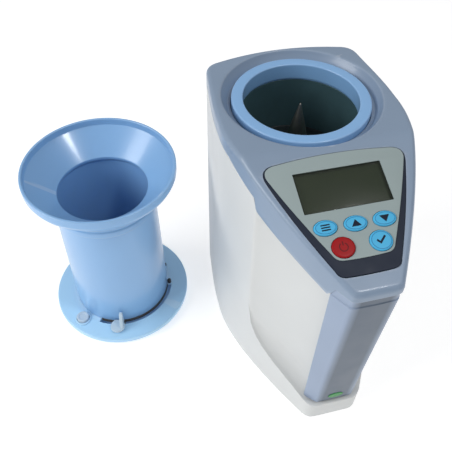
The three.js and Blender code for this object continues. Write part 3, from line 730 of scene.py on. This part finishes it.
def cap_rings(outline, drop, steps=16):
    """Rings that close in from the outline to the middle line, on the top face lowered by a drop."""
    rings = []
    for k in range(1, steps + 1):
        t = k / steps
        ring = []
        for x, y in outline:
            spine_y = min(max(y, NOSE_Y + 20), 12)
            level_y = y + (spine_y - y) * t
            ring.append((x * (1 - t), level_y, top_z(level_y) - drop))
        rings.append(ring)
    return rings


def cover_shell():
    outlines = {inset: whole(cover_half(inset)) for inset in (0, 0.15, 0.5, WALL)}
    base = outlines[0]

    def skirt_ring(inset, rise):
        return [(x, y, cover_edge(b[1]) + rise) for (x, y), b in zip(outlines[inset], base)]

    rings = [skirt_ring(WALL, 0.3), skirt_ring(0.5, 0), skirt_ring(0.15, 0.15), skirt_ring(0, 0.5)]
    for part in range(1, 7):
        share = part / 6
        ring = []
        for x, y in base:
            foot = cover_edge(y) + 0.5
            ring.append((x, y, foot + (top_z(y) - COVER_ROUND - foot) * share))
        rings.append(ring)
    for step in range(1, 10):
        angle = math.radians(10 * step)
        inset = COVER_ROUND * (1 - math.cos(angle))
        outline = whole(cover_half(inset))
        rings.append([(x, y, top_z(y) - COVER_ROUND * (1 - math.sin(angle))) for x, y in outline])
    rings += cap_rings(whole(cover_half(COVER_ROUND)), 0)
    under = [skirt_ring(WALL, 0.3)]
    under.append([(x, y, top_z(y) - COVER_THICKNESS - 1) for x, y in outlines[WALL]])
    under.append([(x, y, top_z(y) - COVER_THICKNESS) for x, y in whole(cover_half(WALL + 1))])
    under += cap_rings(whole(cover_half(WALL + 1)), COVER_THICKNESS)
    count = len(base)
    points = [p for ring in rings + under for p in ring]
    faces = []
    for first, total in ((0, len(rings)), (len(rings), len(under))):
        for row in range(first, first + total - 1):
            faces += ring_faces(row * count, (row + 1) * count, count)
    return make_object("top_cover_shell", points, faces)


# ---------------------------------------------------------------- keypad face

PANEL = (
    METER
    @ Matrix.Translation((PANEL_X * MM, PANEL_Y * MM, top_z(PANEL_Y) * MM))
    @ Matrix.Rotation(math.atan(SLOPE), 4, "X")
)


def panel_outline(corners):
    """A symmetric panel outline from the right half of its corners, front to rear."""
    front, front_bow, turn_a, low, waist, high, turn_b, top, crown = corners
    half = quadratic((0, front_bow), (front[0] / 2, front_bow), front, 6)
    half += quadratic(front, turn_a, low, 10)
    half += quadratic(low, waist, high, 24)
    half += quadratic(high, turn_b, top, 12)
    half += quadratic(top, (top[0] / 2, crown), (0, crown), 12)
    return half[:-1] + [(0, crown)] + [(-x, y) for x, y in reversed(half[:-1])] + [(0, front_bow)]


BEZEL_CORNERS = (
    (15, -56), -56.4, (19.4, -55.6), (20.8, -51), (37.4, -16.5),
    (46, 11.5), (48.4, 20.4), (40, 22.2), 24.7,
)
LABEL_CORNERS = (
    (14, -46), -46.5, (18.4, -45.6), (20, -41.2), (34.6, -13.4),
    (45.2, 13), (47.4, 20.1), (39.4, 21.7), 24.2,
)


def key_cutters(low, high):
    cutters = []
    for name, (x, y, width, height) in KEYS.items():
        plan = oval(x, y, width + 2 * KEY_GAP, height + 2 * KEY_GAP)
        cutters.append(slab(name + "_cutter", plan, low, high, PANEL))
    return cutters


def make_cover():
    shell = cover_shell()
    collar = turned("collar", [(49, 203), (57.4, 203), (57.4, 213), (49, 213)])
    join(shell, collar)
    well = [(0, 200), (49.7, 200), (49.7, 206.6), (50.1, 207), (51.9, 207.1), (52.4, 207.4)]
    well += [(55.9, 213.7), (56.2, 214.3), (56.7, 214.8), (57.4, 215), (57.4, 217), (0, 217)]
    pocket_plan = [(POCKET_SHARE * x, POCKET_SHARE * y) for x, y in panel_outline(BEZEL_CORNERS)]
    pocket = slab("pocket", pocket_plan, -1.5, 3, PANEL)
    opening = slab("opening", box_plan(31, 16, 1), -6, 0, PANEL)
    cut(shell, turned("well", well), pocket, opening, *key_cutters(-6, 0))
    finish_piece(shell, "meter", "cover_plastic", COVER, "top_cover")


def make_column():
    """Hollow column that carries the nose. Its rear edges turn in and leave a gap between them."""
    rings = []
    foot = COLUMN_FOOT_Z + SEAM
    top = COLUMN_TOP_Z + 1.5
    levels = [(foot, 0.6), (foot + 0.8, 0)]
    levels += [(foot + 0.8 + (LEDGE_Z - 1.6 - foot) * step / 20, 0) for step in range(1, 21)]
    levels += [(LEDGE_Z, LEDGE_DEPTH), (top, LEDGE_DEPTH)]
    for z, pull in levels:
        share = (z - foot) / (top - foot)
        front_x = COLUMN_FRONT_X + share - pull
        front_y = COLUMN_FRONT_Y - COLUMN_LEAN * share + pull
        rear_x = COLUMN_SIDE_X + 0.7 * share - pull
        rear_y = COLUMN_REAR_FOOT_Y + (COLUMN_REAR_TOP_Y - COLUMN_REAR_FOOT_Y) * share
        right = [(0, front_y - 0.3, 0), (front_x, front_y, 5), (rear_x, rear_y, 0.8)]
        right += [(rear_x - 8, rear_y, 0.6), (front_x - 2.2, front_y + 3, 1.5), (0, front_y + 2.5, 0)]
        mirrored = [(-x, y, r) for x, y, r in reversed(right[1:-1])]
        rings.append([(x, y, z) for x, y in rounded(right + mirrored, 8)])
    count = len(rings[0])
    piece = loft("nose_column", rings)
    work = bmesh.new()
    work.from_mesh(piece.data)
    bmesh.ops.holes_fill(work, edges=[e for e in work.edges if e.is_boundary], sides=count + 1)
    bmesh.ops.recalc_face_normals(work, faces=work.faces)
    work.to_mesh(piece.data)
    work.free()
    smooth_shade(piece)
    finish_piece(piece, "meter", "cover_plastic", COLUMN)


# ---------------------------------------------------------------- housing

PLINTH_EDGE = [
    (-150, 20), (-142, 22), (-122, 31), (-103, 37), (-92, 41.5),
    (-84, 47), (-77, 57), (-74, 72), (-73, 80),
]


def plinth_z(y):
    """Height of the plinth's upper edge under a side grip."""
    for (y0, z0), (y1, z1) in zip(PLINTH_EDGE, PLINTH_EDGE[1:]):
        if y <= y1:
            return z0 + (z1 - z0) * max(0, (y - y0) / (y1 - y0))
    return PLINTH_EDGE[-1][1]


def grip_wall_x(y):
    """Half-width of the recessed wall of the side grips."""
    t = (math.sqrt(1 + 4 * (GRIP_REAR_Y - y) / 30) - 1) / 2
    t = min(t, 1)
    return 53.4 * (1 - t) ** 2 + 66 * t * (1 - t) + 14 * t * t


def housing_front_y(z):
    """The housing's front wall, which leans forward behind the column."""
    share = min(max((z - COLUMN_FOOT_Z) / (COLUMN_TOP_Z - COLUMN_FOOT_Z), 0), 1)
    return COLUMN_REAR_FOOT_Y + (COLUMN_REAR_TOP_Y - COLUMN_REAR_FOOT_Y) * share + COLUMN_GAP


def recessed(x, y, z, inset, share):
    """A point of the outline moved towards the recessed wall."""
    if y > GRIP_REAR_Y:
        return x, y, z
    front = housing_front_y(z)
    goal_x = min(x, grip_wall_x(y) - inset)
    if y < front - 3:
        goal_x = (14 - inset) * min(1, x / 22)
    goal_y = max(y, front + inset)
    return x + (goal_x - x) * share, y + (goal_y - y) * share, z


def housing_shell():
    base = housing_half(0)

    def ring(inset, height, share):
        half = []
        for (x, y), (base_x, base_y) in zip(housing_half(inset), base):
            half.append(recessed(x, y, height(base_x, base_y), inset, share))
        return half + [(-x, y, z) for x, y, z in reversed(half[1:-1])]

    def fillet(x, y):
        depth = max(0, x - grip_wall_x(y)) if y < GRIP_REAR_Y else 0
        if y < COLUMN_REAR_FOOT_Y - 2:
            return 3
        return min(GRIP_FILLET, 1 + 1.5 * depth)

    def top(x, y):
        return skirt_edge(y) - SEAM

    rings = [ring(WALL, lambda x, y: FLOOR_GAP, 0), ring(0.8, lambda x, y: FLOOR_GAP, 0)]
    rings.append(ring(0.25, lambda x, y: FLOOR_GAP + 0.25, 0))
    for part in range(10):
        rings.append(ring(0, lambda x, y: FLOOR_GAP + 0.8 + (plinth_z(y) - FLOOR_GAP - 1.4) * part / 9, 0))
    rings.append(ring(0, lambda x, y: plinth_z(y) - 0.15, 0))
    for part in range(13):
        angle = math.radians(90 * part / 12)
        share = 0.06 + 0.94 * math.sin(angle)
        rings.append(ring(0, lambda x, y: plinth_z(y) + fillet(x, y) * (1 - math.cos(angle)), share))
    for part in range(1, 13):
        def height(x, y):
            foot = plinth_z(y) + fillet(x, y)
            return foot + (top(x, y) - 0.4 - foot) * part / 12
        rings.append(ring(0, height, 1))
    rings.append(ring(0.35, top, 1))
    rings.append(ring(WALL + SEAM, top, 1))
    rings.append(ring(WALL + SEAM, lambda x, y: top(x, y) + LAP, 1))
    rings.append(ring(2 * WALL, lambda x, y: top(x, y) + LAP, 1))
    rings.append(ring(2 * WALL, lambda x, y: plinth_z(y) + GRIP_FILLET, 1))
    rings.append(ring(WALL, lambda x, y: FLOOR_GAP + 6, 0))
    return loft("lower_housing_shell", rings, wrap=True)


def make_housing():
    shell = housing_shell()
    join(shell, block("door_pad", (-37, 52.5, 6), (37, 57.2, 86)))
    half = DOOR_WIDTH / 2 + SEAM
    flat = block("flat", (-36, REAR_FLAT_Y, 7), (36, 70, 85), edge=1.5)
    doorway = block("doorway", (-half, 45, DOOR_FOOT_Z - SEAM), (half, 65, DOOR_TOP_Z + SEAM))
    cut(shell, flat, doorway)
    finish_piece(shell, "meter", "housing_plastic", HOUSING, "lower_housing")


# ---------------------------------------------------------------- measuring cup


def make_cup():
    ring = rounded([
        (CUP_MOUTH_R, CUP_TOP_Z, 1.1), (CUP_RING_R, CUP_TOP_Z, 1.3), (CUP_RING_R, CUP_RING_FOOT_Z, 0.4),
        (44.9, CUP_RING_FOOT_Z, 0.3), (44.9, 198, 0.3), (CUP_BORE_R, 198, 0.6), (41.6, 200, 1.5),
    ])
    finish_piece(turned("cup_ring_body", ring, steps=192), "meter", "sky_blue_plastic", SKY, "cup_ring")
    foot = CARRIER_Z + SEAM
    wall = rounded([
        (CUP_BORE_R, 197.7, 0.3), (44.5, 197.7, 0.3), (44.5, foot, 0), (CUP_BORE_R, foot, 0),
        (CUP_BORE_R, 143.7, 0), (39.5, 143.7, 0.3), (39.5, 147.7, 0.3), (CUP_BORE_R, 147.7, 0),
    ])
    finish_piece(turned("cup_liner", wall), "meter", "cup_metal", CUP_METAL, "cup_wall")
    floor = rounded([
        (4.4, 148, 0), (CUP_BORE_R - SEAM, 148, 0), (CUP_BORE_R - SEAM, CUP_FLOOR_Z + 0.4, 0.2),
        (CUP_BORE_R - 1.5, CUP_FLOOR_Z, 0.6), (14, CUP_FLOOR_Z, 0.5), (13, CUP_FLOOR_Z - 1, 0.5),
        (4.4, CUP_FLOOR_Z - 1, 0),
    ])
    disc = turned("cup_base", floor)
    cut(disc, slab("probe_hole", circle(2.3, 32, PROBE_X, 0), 147, 156))
    finish_piece(disc, "meter", "insulator", INSULATOR, "cup_floor")
    cone = rounded([
        (0, 207, 0), (0.7, 206.2, 0.6), (CONE_R, 171.5, 2), (CONE_R, CUP_FLOOR_Z + 2.8, 0.6),
        (CONE_R - 0.8, CUP_FLOOR_Z + 2, 0.4), (CONE_R, CUP_FLOOR_Z + 1.2, 0.4),
        (CONE_R, CUP_FLOOR_Z + SEAM, 0.2), (4, CUP_FLOOR_Z + SEAM, 0.2), (4, 140, 0.5), (0, 140, 0),
    ])
    electrode = turned("electrode_cone", cone, steps=72)
    finish_piece(electrode, "meter", "electrode_metal", ELECTRODE, "centre_electrode")
    tip = rounded([(0, 143, 0), (2, 143, 0.2), (2, 158.5, 0.8), (1.2, 159.8, 0.6), (0, 160, 0)])
    probe_place = METER @ Matrix.Translation((PROBE_X * MM, 0, 0))
    probe = turned("probe_tip", tip, probe_place, 40)
    finish_piece(probe, "meter", "probe_steel", SPRING, "temperature_probe")


# ---------------------------------------------------------------- keypad


def key_slot(name):
    return "red_key" if name == "power" else "blue_key"


def mark(name, plan, key, look):
    """A flat printed mark on a key."""
    x, y = KEYS[key][:2]
    piece = slab(name, [(x + px, y + py) for px, py in plan], KEY_TOP, KEY_TOP + 0.06, PANEL)
    finish_piece(piece, key + "_key", key_slot(key), look)


def key_cap(name, width, height):
    """Domed cap: a flange under the panel, a straight side, and a soft crown."""
    levels = [(1, KEY_FOOT), (1, KEY_FOOT + 1), (0, KEY_FOOT + 1), (0, 1.2)]
    levels += [(-0.12, 1.55), (-0.4, 1.8), (-0.9, 1.95), (-2, KEY_TOP)]
    x, y = KEYS[name][:2]
    rings = []
    for grow, z in levels:
        rings.append([(px, py, z) for px, py in oval(x, y, width + 2 * grow, height + 2 * grow, 72)])
    for share in (0.5, 0):
        crown = oval(x, y, share * (width - 4), share * (height - 4), 72)
        rings.append([(px, py, KEY_TOP) for px, py in crown])
    for radius, z in ((0, STEM_FOOT), (STEM_R, STEM_FOOT), (STEM_R, KEY_FOOT)):
        rings.append([(x + px, y + py, z) for px, py in circle(radius, 72)])
    return loft(name + "_key_cap", rings, PANEL, wrap=True)


def key_border(name, outer, inner):
    """A printed ring near the edge of a key."""
    low = KEY_TOP - 0.02
    piece = slab(name, outer, low, low + 0.05, PANEL)
    return cut(piece, slab(name + "_hole", inner, low - 1, low + 1, PANEL))


def make_keys():
    for name, (x, y, width, height) in KEYS.items():
        look = RED_KEY if name == "power" else BLUE_KEY
        cap = key_cap(name, width, height)
        finish_piece(cap, name + "_key", key_slot(name), look, name + "_key")
        if name != "power":
            outer = oval(x, y, width - 1.9, height - 1.9)
            inner = oval(x, y, width - 2.6, height - 2.6)
            border = key_border(name + "_border", outer, inner)
            finish_piece(border, name + "_key", key_slot(name), RIM_INK)
    mark("up_arrow", [(-3.2, -2.1), (3.2, -2.1), (0, 2.4)], "up", INK)
    mark("down_arrow", [(-3.2, 2.1), (0, -2.4), (3.2, 2.1)], "down", INK)
    for i, level in enumerate((-1.6, 0, 1.6)):
        bar = [(px, py + level) for px, py in box_plan(2.9, 0.42, 0.3)]
        mark(f"menu_bar_{i + 1}", bar, "menu", INK)
    tick = [(-3.2, 0.2), (-2.3, 1.1), (-0.9, -0.5), (2.5, 2.9), (3.4, 2.0), (-0.9, -2.3)]
    mark("ok_tick", tick, "ok", INK)
    mark("power_arc", sector_plan(2.3, 2.9, 120, 420), "power", DARK_RED)
    power_bar = [(px, py + 2.3) for px, py in box_plan(0.34, 1.4, 0.3)]
    mark("power_bar", power_bar, "power", DARK_RED)


def make_keypad():
    key_plans = [oval(x, y, w + 2 * KEY_GAP, h + 2 * KEY_GAP) for x, y, w, h in KEYS.values()]
    bezel = slab("bezel_frame", panel_outline(BEZEL_CORNERS), -1.2, BEZEL_TOP, PANEL, 0.35)
    half_x = WINDOW_WIDTH / 2
    half_y = WINDOW_HEIGHT / 2
    window_hole = slab("window_hole", box_plan(half_x + 0.6, half_y + 0.6), -4, 4, PANEL)
    holes = [slab("key_hole", plan, -4, 4, PANEL) for plan in key_plans]
    cut(bezel, window_hole, *holes)
    finish_piece(bezel, "meter", "bezel_plastic", NAVY, "keypad_bezel")
    label = slab("front_label", panel_outline(LABEL_CORNERS), BEZEL_TOP + 0.05, LABEL_TOP, PANEL, 0.2)
    opening = slab("label_window", box_plan(half_x, half_y, 0.6), -1, 3, PANEL)
    cut(label, opening, *[slab("label_hole", plan, -1, 3, PANEL) for plan in key_plans])
    finish_piece(label, "meter", "label_film", LABEL, "keypad_label")
    pane = box_plan(half_x - SEAM, half_y - SEAM, 0.5)
    glass = slab("window_pane", pane, -0.9, 0.9, PANEL, 0.15)
    finish_piece(glass, "meter", "window_glass", WINDOW, "display_window")
    body = slab("display_body", box_plan(33, 17.6, 1), -11.1, -3.2, PANEL, 0.3)
    finish_piece(body, "meter", "lcd", SWITCH, "display_module")
    face = slab("display_face", box_plan(27.8, 12.7, 0.4), -3.1, -1.3, PANEL, 0.1)
    finish_piece(face, "meter", "lcd", LCD)
    make_keys()


# ---------------------------------------------------------------- base, batteries


def make_base():
    plate = refined("base_cover", "base_plate", 0.35)
    finish_piece(plate, "meter", "housing_plastic", HOUSING, "base_plate")
    head = rounded([
        (0, 2.7, 0), (1.2, 2.7, 0), (1.2, 2.25, 0), (2.4, 2.25, 0.4), (3, 2.8, 0.3), (3, 3.5, 0),
        (1.5, 3.5, 0.1), (1.5, 14, 0.2), (0, 16, 0),
    ])
    pad = rounded([
        (0, 0.15, 0), (4.2, 0.15, 0.2), (4.6, 0, 0.2), (5.6, 0, 0.5), (6, 0.8, 0.3), (6, 1.7, 0.2),
        (0, 1.7, 0),
    ])
    for i in range(1, 5):
        screw = turned(f"base_fixing_{i}", head, axis_through(f"base_screw_{i}"), 40)
        finish_piece(screw, "meter", "screw_steel", STEEL, f"base_screw_{i}")
        foot = turned(f"rubber_pad_{i}", pad, axis_through(f"foot_{i}"), 64)
        finish_piece(foot, "meter", "foot_rubber", RUBBER, f"foot_{i}")


def make_batteries():
    tray = refined("battery_holder", "battery_tray", 0.4)
    finish_piece(tray, "meter", "tray_plastic", TRAY, "battery_tray")
    for side in ("left", "right"):
        strip = refined(f"contact_{side}", f"contact_strip_{side}", 0.15)
        finish_piece(strip, "meter", "probe_steel", SPRING, f"contact_strip_{side}")
    half = CELL_LENGTH / 2
    profile = rounded([
        (0, -half, 0), (CELL_RADIUS - 0.6, -half, 0.3), (CELL_RADIUS, -half + 0.6, 0.3),
        (CELL_RADIUS, half - 2.4, 0.5), (CELL_RADIUS - 0.7, half - 1.6, 0.3),
        (2.7, half - 1.6, 0.2), (2.7, half - 0.2, 0.4), (0, half - 0.2, 0),
    ])
    band = rounded([
        (CELL_RADIUS - 0.3, half - 12, 0), (CELL_RADIUS + 0.03, half - 12, 0),
        (CELL_RADIUS + 0.03, half - 3, 0), (CELL_RADIUS - 0.3, half - 3, 0),
    ])
    for i in range(4):
        sign = 1 if i % 2 else -1
        lift = (CELL_FOOT_Z + CELL_PITCH * (i + 0.5)) * MM
        place = METER @ Matrix.Translation((0, CELL_Y * MM, lift))
        place = place @ Matrix.Rotation(sign * math.pi / 2, 4, "Y")
        battery = turned(f"battery_cell_{i + 1}", profile, place, 64)
        finish_piece(battery, "meter", "battery_sleeve", SLEEVE, f"battery_{i + 1}")
        stripe = turned(f"battery_band_{i + 1}", band, place, 64)
        finish_piece(stripe, "meter", "battery_sleeve", COPPER)


def make_door():
    hinge = DOOR_THICKNESS / 2
    inner_y = REAR_FLAT_Y - DOOR_THICKNESS
    half = DOOR_WIDTH / 2
    low = (-half, inner_y, DOOR_FOOT_Z + hinge)
    door = block("battery_door_panel", low, (half, REAR_FLAT_Y, DOOR_TOP_Z))
    barrel_place = METER @ Matrix.Translation((0, (inner_y + hinge) * MM, (DOOR_FOOT_Z + hinge) * MM))
    barrel_place = barrel_place @ Matrix.Rotation(math.pi / 2, 4, "Y")
    join(door, slab("door_roll", circle(hinge, 24), -half, half, barrel_place))
    grooves = []
    for i in range(5):
        low = DOOR_TOP_Z - 14 + 2.2 * i
        grooves.append(block("groove", (-9, REAR_FLAT_Y - 0.7, low), (9, REAR_FLAT_Y + 1, low + 1.1)))
    cut(door, *grooves)
    round_edges(door, 0.25, 2)
    finish_piece(door, "battery_door", "housing_plastic", HOUSING, "battery_door")


def make_sticker():
    low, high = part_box("column_sticker")
    lean = math.atan2(STICKER_LEAN, COLUMN_TOP_Z + 1 - COLUMN_FOOT_Z)
    place = Matrix.Translation((low + high) / 2) @ Matrix.Rotation(math.pi / 2 + lean, 4, "X")
    place = place @ Matrix.Translation((0, 0, -0.1 * MM))
    sticker = slab("oval_sticker", oval(0, 0, 12, 7.5), -0.2, 0.25, place, 0.1)
    finish_piece(sticker, "meter", "sticker_film", STICKER, "column_sticker")


# ---------------------------------------------------------------- drop sampler


def make_barrel():
    profile = rounded([
        (TUBE_BORE_R, 10.3, 0.3), (TUBE_FOOT_R, 10.3, 0.4), (TUBE_TOP_R, 121, 1.5),
        (TUBE_TOP_R + 2, 123.4, 1.6), (TUBE_TOP_R + 2, 127.6, 1.6), (TUBE_TOP_R + 1, 129.4, 1.2),
        (FUNNEL_R - 1.2, 149.5, 3), (FUNNEL_R, 152.5, 1), (FUNNEL_R, SAMPLER_HEIGHT, 1.1),
        (FUNNEL_R - 2.2, SAMPLER_HEIGHT, 1.0), (FUNNEL_R - 2.8, 153.4, 1.4), (THROAT_R, THROAT_Z, 0.8),
        (THROAT_R, THROAT_Z - 2, 0.4), (TUBE_BORE_R, THROAT_Z - 6, 0.6),
    ], 6)
    barrel = turned("sampler_barrel", profile, SAMPLER, 192)
    finish_piece(barrel, "sampler", "sky_blue_plastic", SKY, "barrel")


def make_saucer():
    dish = turned("sampler_saucer", rounded([
        (38.5, 7.8, 0), (56.5, 7.2, 0.4), (56.5, 3, 0.3), (SAUCER_R, 3, 0.9), (SAUCER_R, 7.4, 1.3),
        (SAUCER_R - 2.2, 7.8, 1.5), (46, 9.7, 3), (38.5, 9.9, 0),
    ], 6), SAMPLER, 192)
    x, y = polar(BUTTON_R, BUTTON_ANGLE)
    join(dish, slab("boss", circle(7.2, 64, x, y), 7.3, 10.2, SAMPLER, 0.5))
    slot = sector_plan(TUBE_FOOT_R + 0.1, SLOT_R + SLOT_HALF_WIDTH, SLOT_START, SLOT_END, 90)
    cut(dish, slab("slot", slot, 0, 15, SAMPLER), slab("bore", circle(5.7, 64, x, y), 0, 15, SAMPLER))
    finish_piece(dish, "sampler", "sky_blue_plastic", SKY_PAINTED_LIGHT, "saucer")
    foot = refined("sampler_base_ring", "sampler_foot", 0.3)
    finish_piece(foot, "sampler", "sky_blue_plastic", SKY, "sampler_foot")


def make_lever():
    place = SAMPLER @ Matrix.Rotation(math.radians(LEVER_ANGLE), 4, "Z")
    grip = SLOT_R + 4.6
    disc = [(grip + x, y) for x, y in arc(6.2, -150, 150, 60)]
    plan = disc + [(SLOT_R - 1.4, 3.9), (SLOT_R - 1.4, -3.9)]
    plate = slab("shutter_paddle", plan, 10.4, 12.8, place, 0.7)
    side = rounded([
        (SLOT_R - 1, 11.5, 0), (SLOT_R + 9, 11.5, 0.6), (SLOT_R + 2.4, 25.9, 2), (SLOT_R - 0.8, 25.9, 1),
    ])
    upright = place @ Matrix.Translation((0, 5.2 * MM, 0)) @ Matrix.Rotation(math.pi / 2, 4, "X")
    vane = slab("vane", side, 0, 2.8, upright, 0.6)
    tang = block("tang", (SLOT_R - 1, -3, 7.4), (SLOT_R + 1, 3, 11), place)
    join(plate, vane, tang)
    finish_piece(plate, "shutter", "lever_plastic", LEVER, "shutter_lever")


def make_slot_shade_and_stops():
    """A thin black strip on the inner wall of the lever's slot along the tube's foot, painted shade that
    darkens the slot, with a stop at its end and one beyond.
    """
    # painted shade: the black strip darkens the slot's inner wall
    slot_shade_strip = sector_plan(TUBE_FOOT_R + 0.1, TUBE_FOOT_R + 0.5, SLOT_START + 1, SLOT_END - 1, 90)
    finish_piece(slab("slot_painted_shade", slot_shade_strip, 7.4, 10.9, SAMPLER), "sampler", "foot_rubber", RUBBER)
    for name, angle, radius, top in (("slot_stop", -12.2, 1.7, 13.6), ("edge_stop", 15, 1.3, 12.4)):
        x, y = polar(TUBE_FOOT_R + 1.9, angle)
        stop = slab(name, circle(radius, 32, x, y), 9.4, top, SAMPLER, 0.6)
        finish_piece(stop, "sampler", "foot_rubber", RUBBER)


def make_button():
    x, y = polar(BUTTON_R, BUTTON_ANGLE)
    place = SAMPLER @ Matrix.Translation((x * MM, y * MM, 0))
    profile = rounded([
        (0, 4.2, 0), (3, 4.2, 0.3), (3, 8, 0.2), (5.3, 8, 0.2), (5.3, 13, 0.9), (3.6, 13, 0.3),
        (3, 12.5, 0.5), (0, 12.3, 0),
    ])
    button = turned("release_plunger", profile, place, 72)
    finish_piece(button, "release_button", "button_plastic", BUTTON, "release_button")
    spring = copied("push_spring", "button_spring")
    smooth_shade(spring, CRISP_WIRE)
    finish_piece(spring, "sampler", "probe_steel", SPRING, "button_spring")
    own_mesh(spring)


def make_gate():
    gate = refined("gate_disc", "gate_plate", 0.25)
    finish_piece(gate, "sampler", "sky_blue_plastic", SKY_DEEP, "gate_plate")
    blades = refined("shutter_blades", "shutter_disc", 0.15)
    finish_piece(blades, "shutter", "shutter_steel", SHUTTER, "shutter_disc")
    pivot = rounded([
        (0, 4.2, 0), (5, 4.2, 0.3), (5, 5.4, 0.3), (3.2, 5.4, 0), (3.2, 10, 0), (5.5, 10, 0.2),
        (5.2, 11, 1), (0, 11.4, 0),
    ])
    rivet = turned("gate_rivet", pivot, SAMPLER, 64)
    finish_piece(rivet, "sampler", "probe_steel", SPRING, "gate_pivot")
    finish_node("shutter_spring", SPRING)
    for i in range(1, 4):
        finish_node(f"sampler_screw_{i}", STEEL)


def finish_node(node, look):
    """A finer material on a CAD node that stays."""
    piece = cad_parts[node]
    piece.data.materials.clear()
    piece.data.materials.append(look)


def finish_inner_nodes():
    for node in ("cup_carrier", "load_cell", "cell_pedestal"):
        finish_node(node, ALUMINIUM)
    finish_node("main_board", BOARD)
    for name in KEYS:
        finish_node(name + "_switch", SWITCH)


# ---------------------------------------------------------------- studio


def make_floor():
    mesh = bpy.data.meshes.new("floor")
    corners = [(FLOOR_SIZE * x, FLOOR_SIZE * y, 0) for x, y in ((-1, -1), (1, -1), (1, 1), (-1, 1))]
    mesh.from_pydata(corners, [], [(0, 1, 2, 3)])
    floor = bpy.data.objects.new("floor", mesh)
    bpy.context.scene.collection.objects.link(floor)
    look = Look("floor_paper", 0.7).colour((0.7, 0.7, 0.7), 0.01, 4)
    look.set(Emission_Color=(1, 1, 1, 1), Emission_Strength=0.55)
    floor.data.materials.append(look.material)


def soft_light(name, place, size, power):
    lamp = bpy.data.lights.new(name, "AREA")
    lamp.shape = "RECTANGLE"
    lamp.size, lamp.size_y = size
    lamp.energy = power
    light = bpy.data.objects.new(name, lamp)
    light.location = place
    aim = Vector(LAMP_TARGET) - Vector(place)
    light.rotation_euler = aim.to_track_quat("-Z", "Y").to_euler()
    bpy.context.scene.collection.objects.link(light)


def make_studio():
    make_floor()
    world = bpy.data.worlds.new("studio")
    world.use_nodes = True
    tree = world.node_tree
    split = tree.nodes.new("ShaderNodeSeparateXYZ")
    direction = tree.nodes.new("ShaderNodeTexCoord").outputs["Generated"]
    tree.links.new(direction, split.inputs["Vector"])
    rise = tree.nodes.new("ShaderNodeMapRange")
    rise.inputs["To Min"].default_value = SKY_LOW
    rise.inputs["To Max"].default_value = SKY_HIGH
    tree.links.new(split.outputs["Z"], rise.inputs["Value"])
    tree.links.new(rise.outputs["Result"], tree.nodes["Background"].inputs["Strength"])
    tree.nodes["Background"].inputs["Color"].default_value = (0.98, 0.985, 1, 1)
    bpy.context.scene.world = world
    for name, place, size, power in LAMPS:
        soft_light(name, place, size, power)
    bpy.context.scene.view_settings.view_transform = "Standard"


def make_camera():
    """Looks down at the pair from in front, a little to the left of the meter."""
    tilt = math.radians(CAMERA_TILT)
    turn = math.radians(CAMERA_TURN)
    roll = math.radians(CAMERA_ROLL)
    reach = math.cos(tilt)
    forward = Vector((math.sin(turn) * reach, math.cos(turn) * reach, -math.sin(tilt)))
    level = Vector((math.cos(turn), -math.sin(turn), 0))
    upward = level.cross(forward)
    right = level * math.cos(roll) + upward * math.sin(roll)
    up = right.cross(forward)
    data = bpy.data.cameras.new("camera")
    data.sensor_width = SENSOR
    data.lens = LENS
    data.clip_start = 0.01
    camera = bpy.data.objects.new("camera", data)
    turned_to = Matrix((right, up, -forward)).transposed().to_4x4()
    camera.matrix_world = Matrix.Translation(METER @ Vector(CAMERA_PLACE)) @ turned_to
    bpy.context.scene.collection.objects.link(camera)
    bpy.context.scene.camera = camera


make_camera()
make_studio()
make_cover()
make_column()
make_housing()
make_cup()
make_keypad()
make_base()
make_batteries()
make_door()
make_sticker()
make_barrel()
make_saucer()
make_lever()
make_slot_shade_and_stops()
make_button()
make_gate()
finish_inner_nodes()
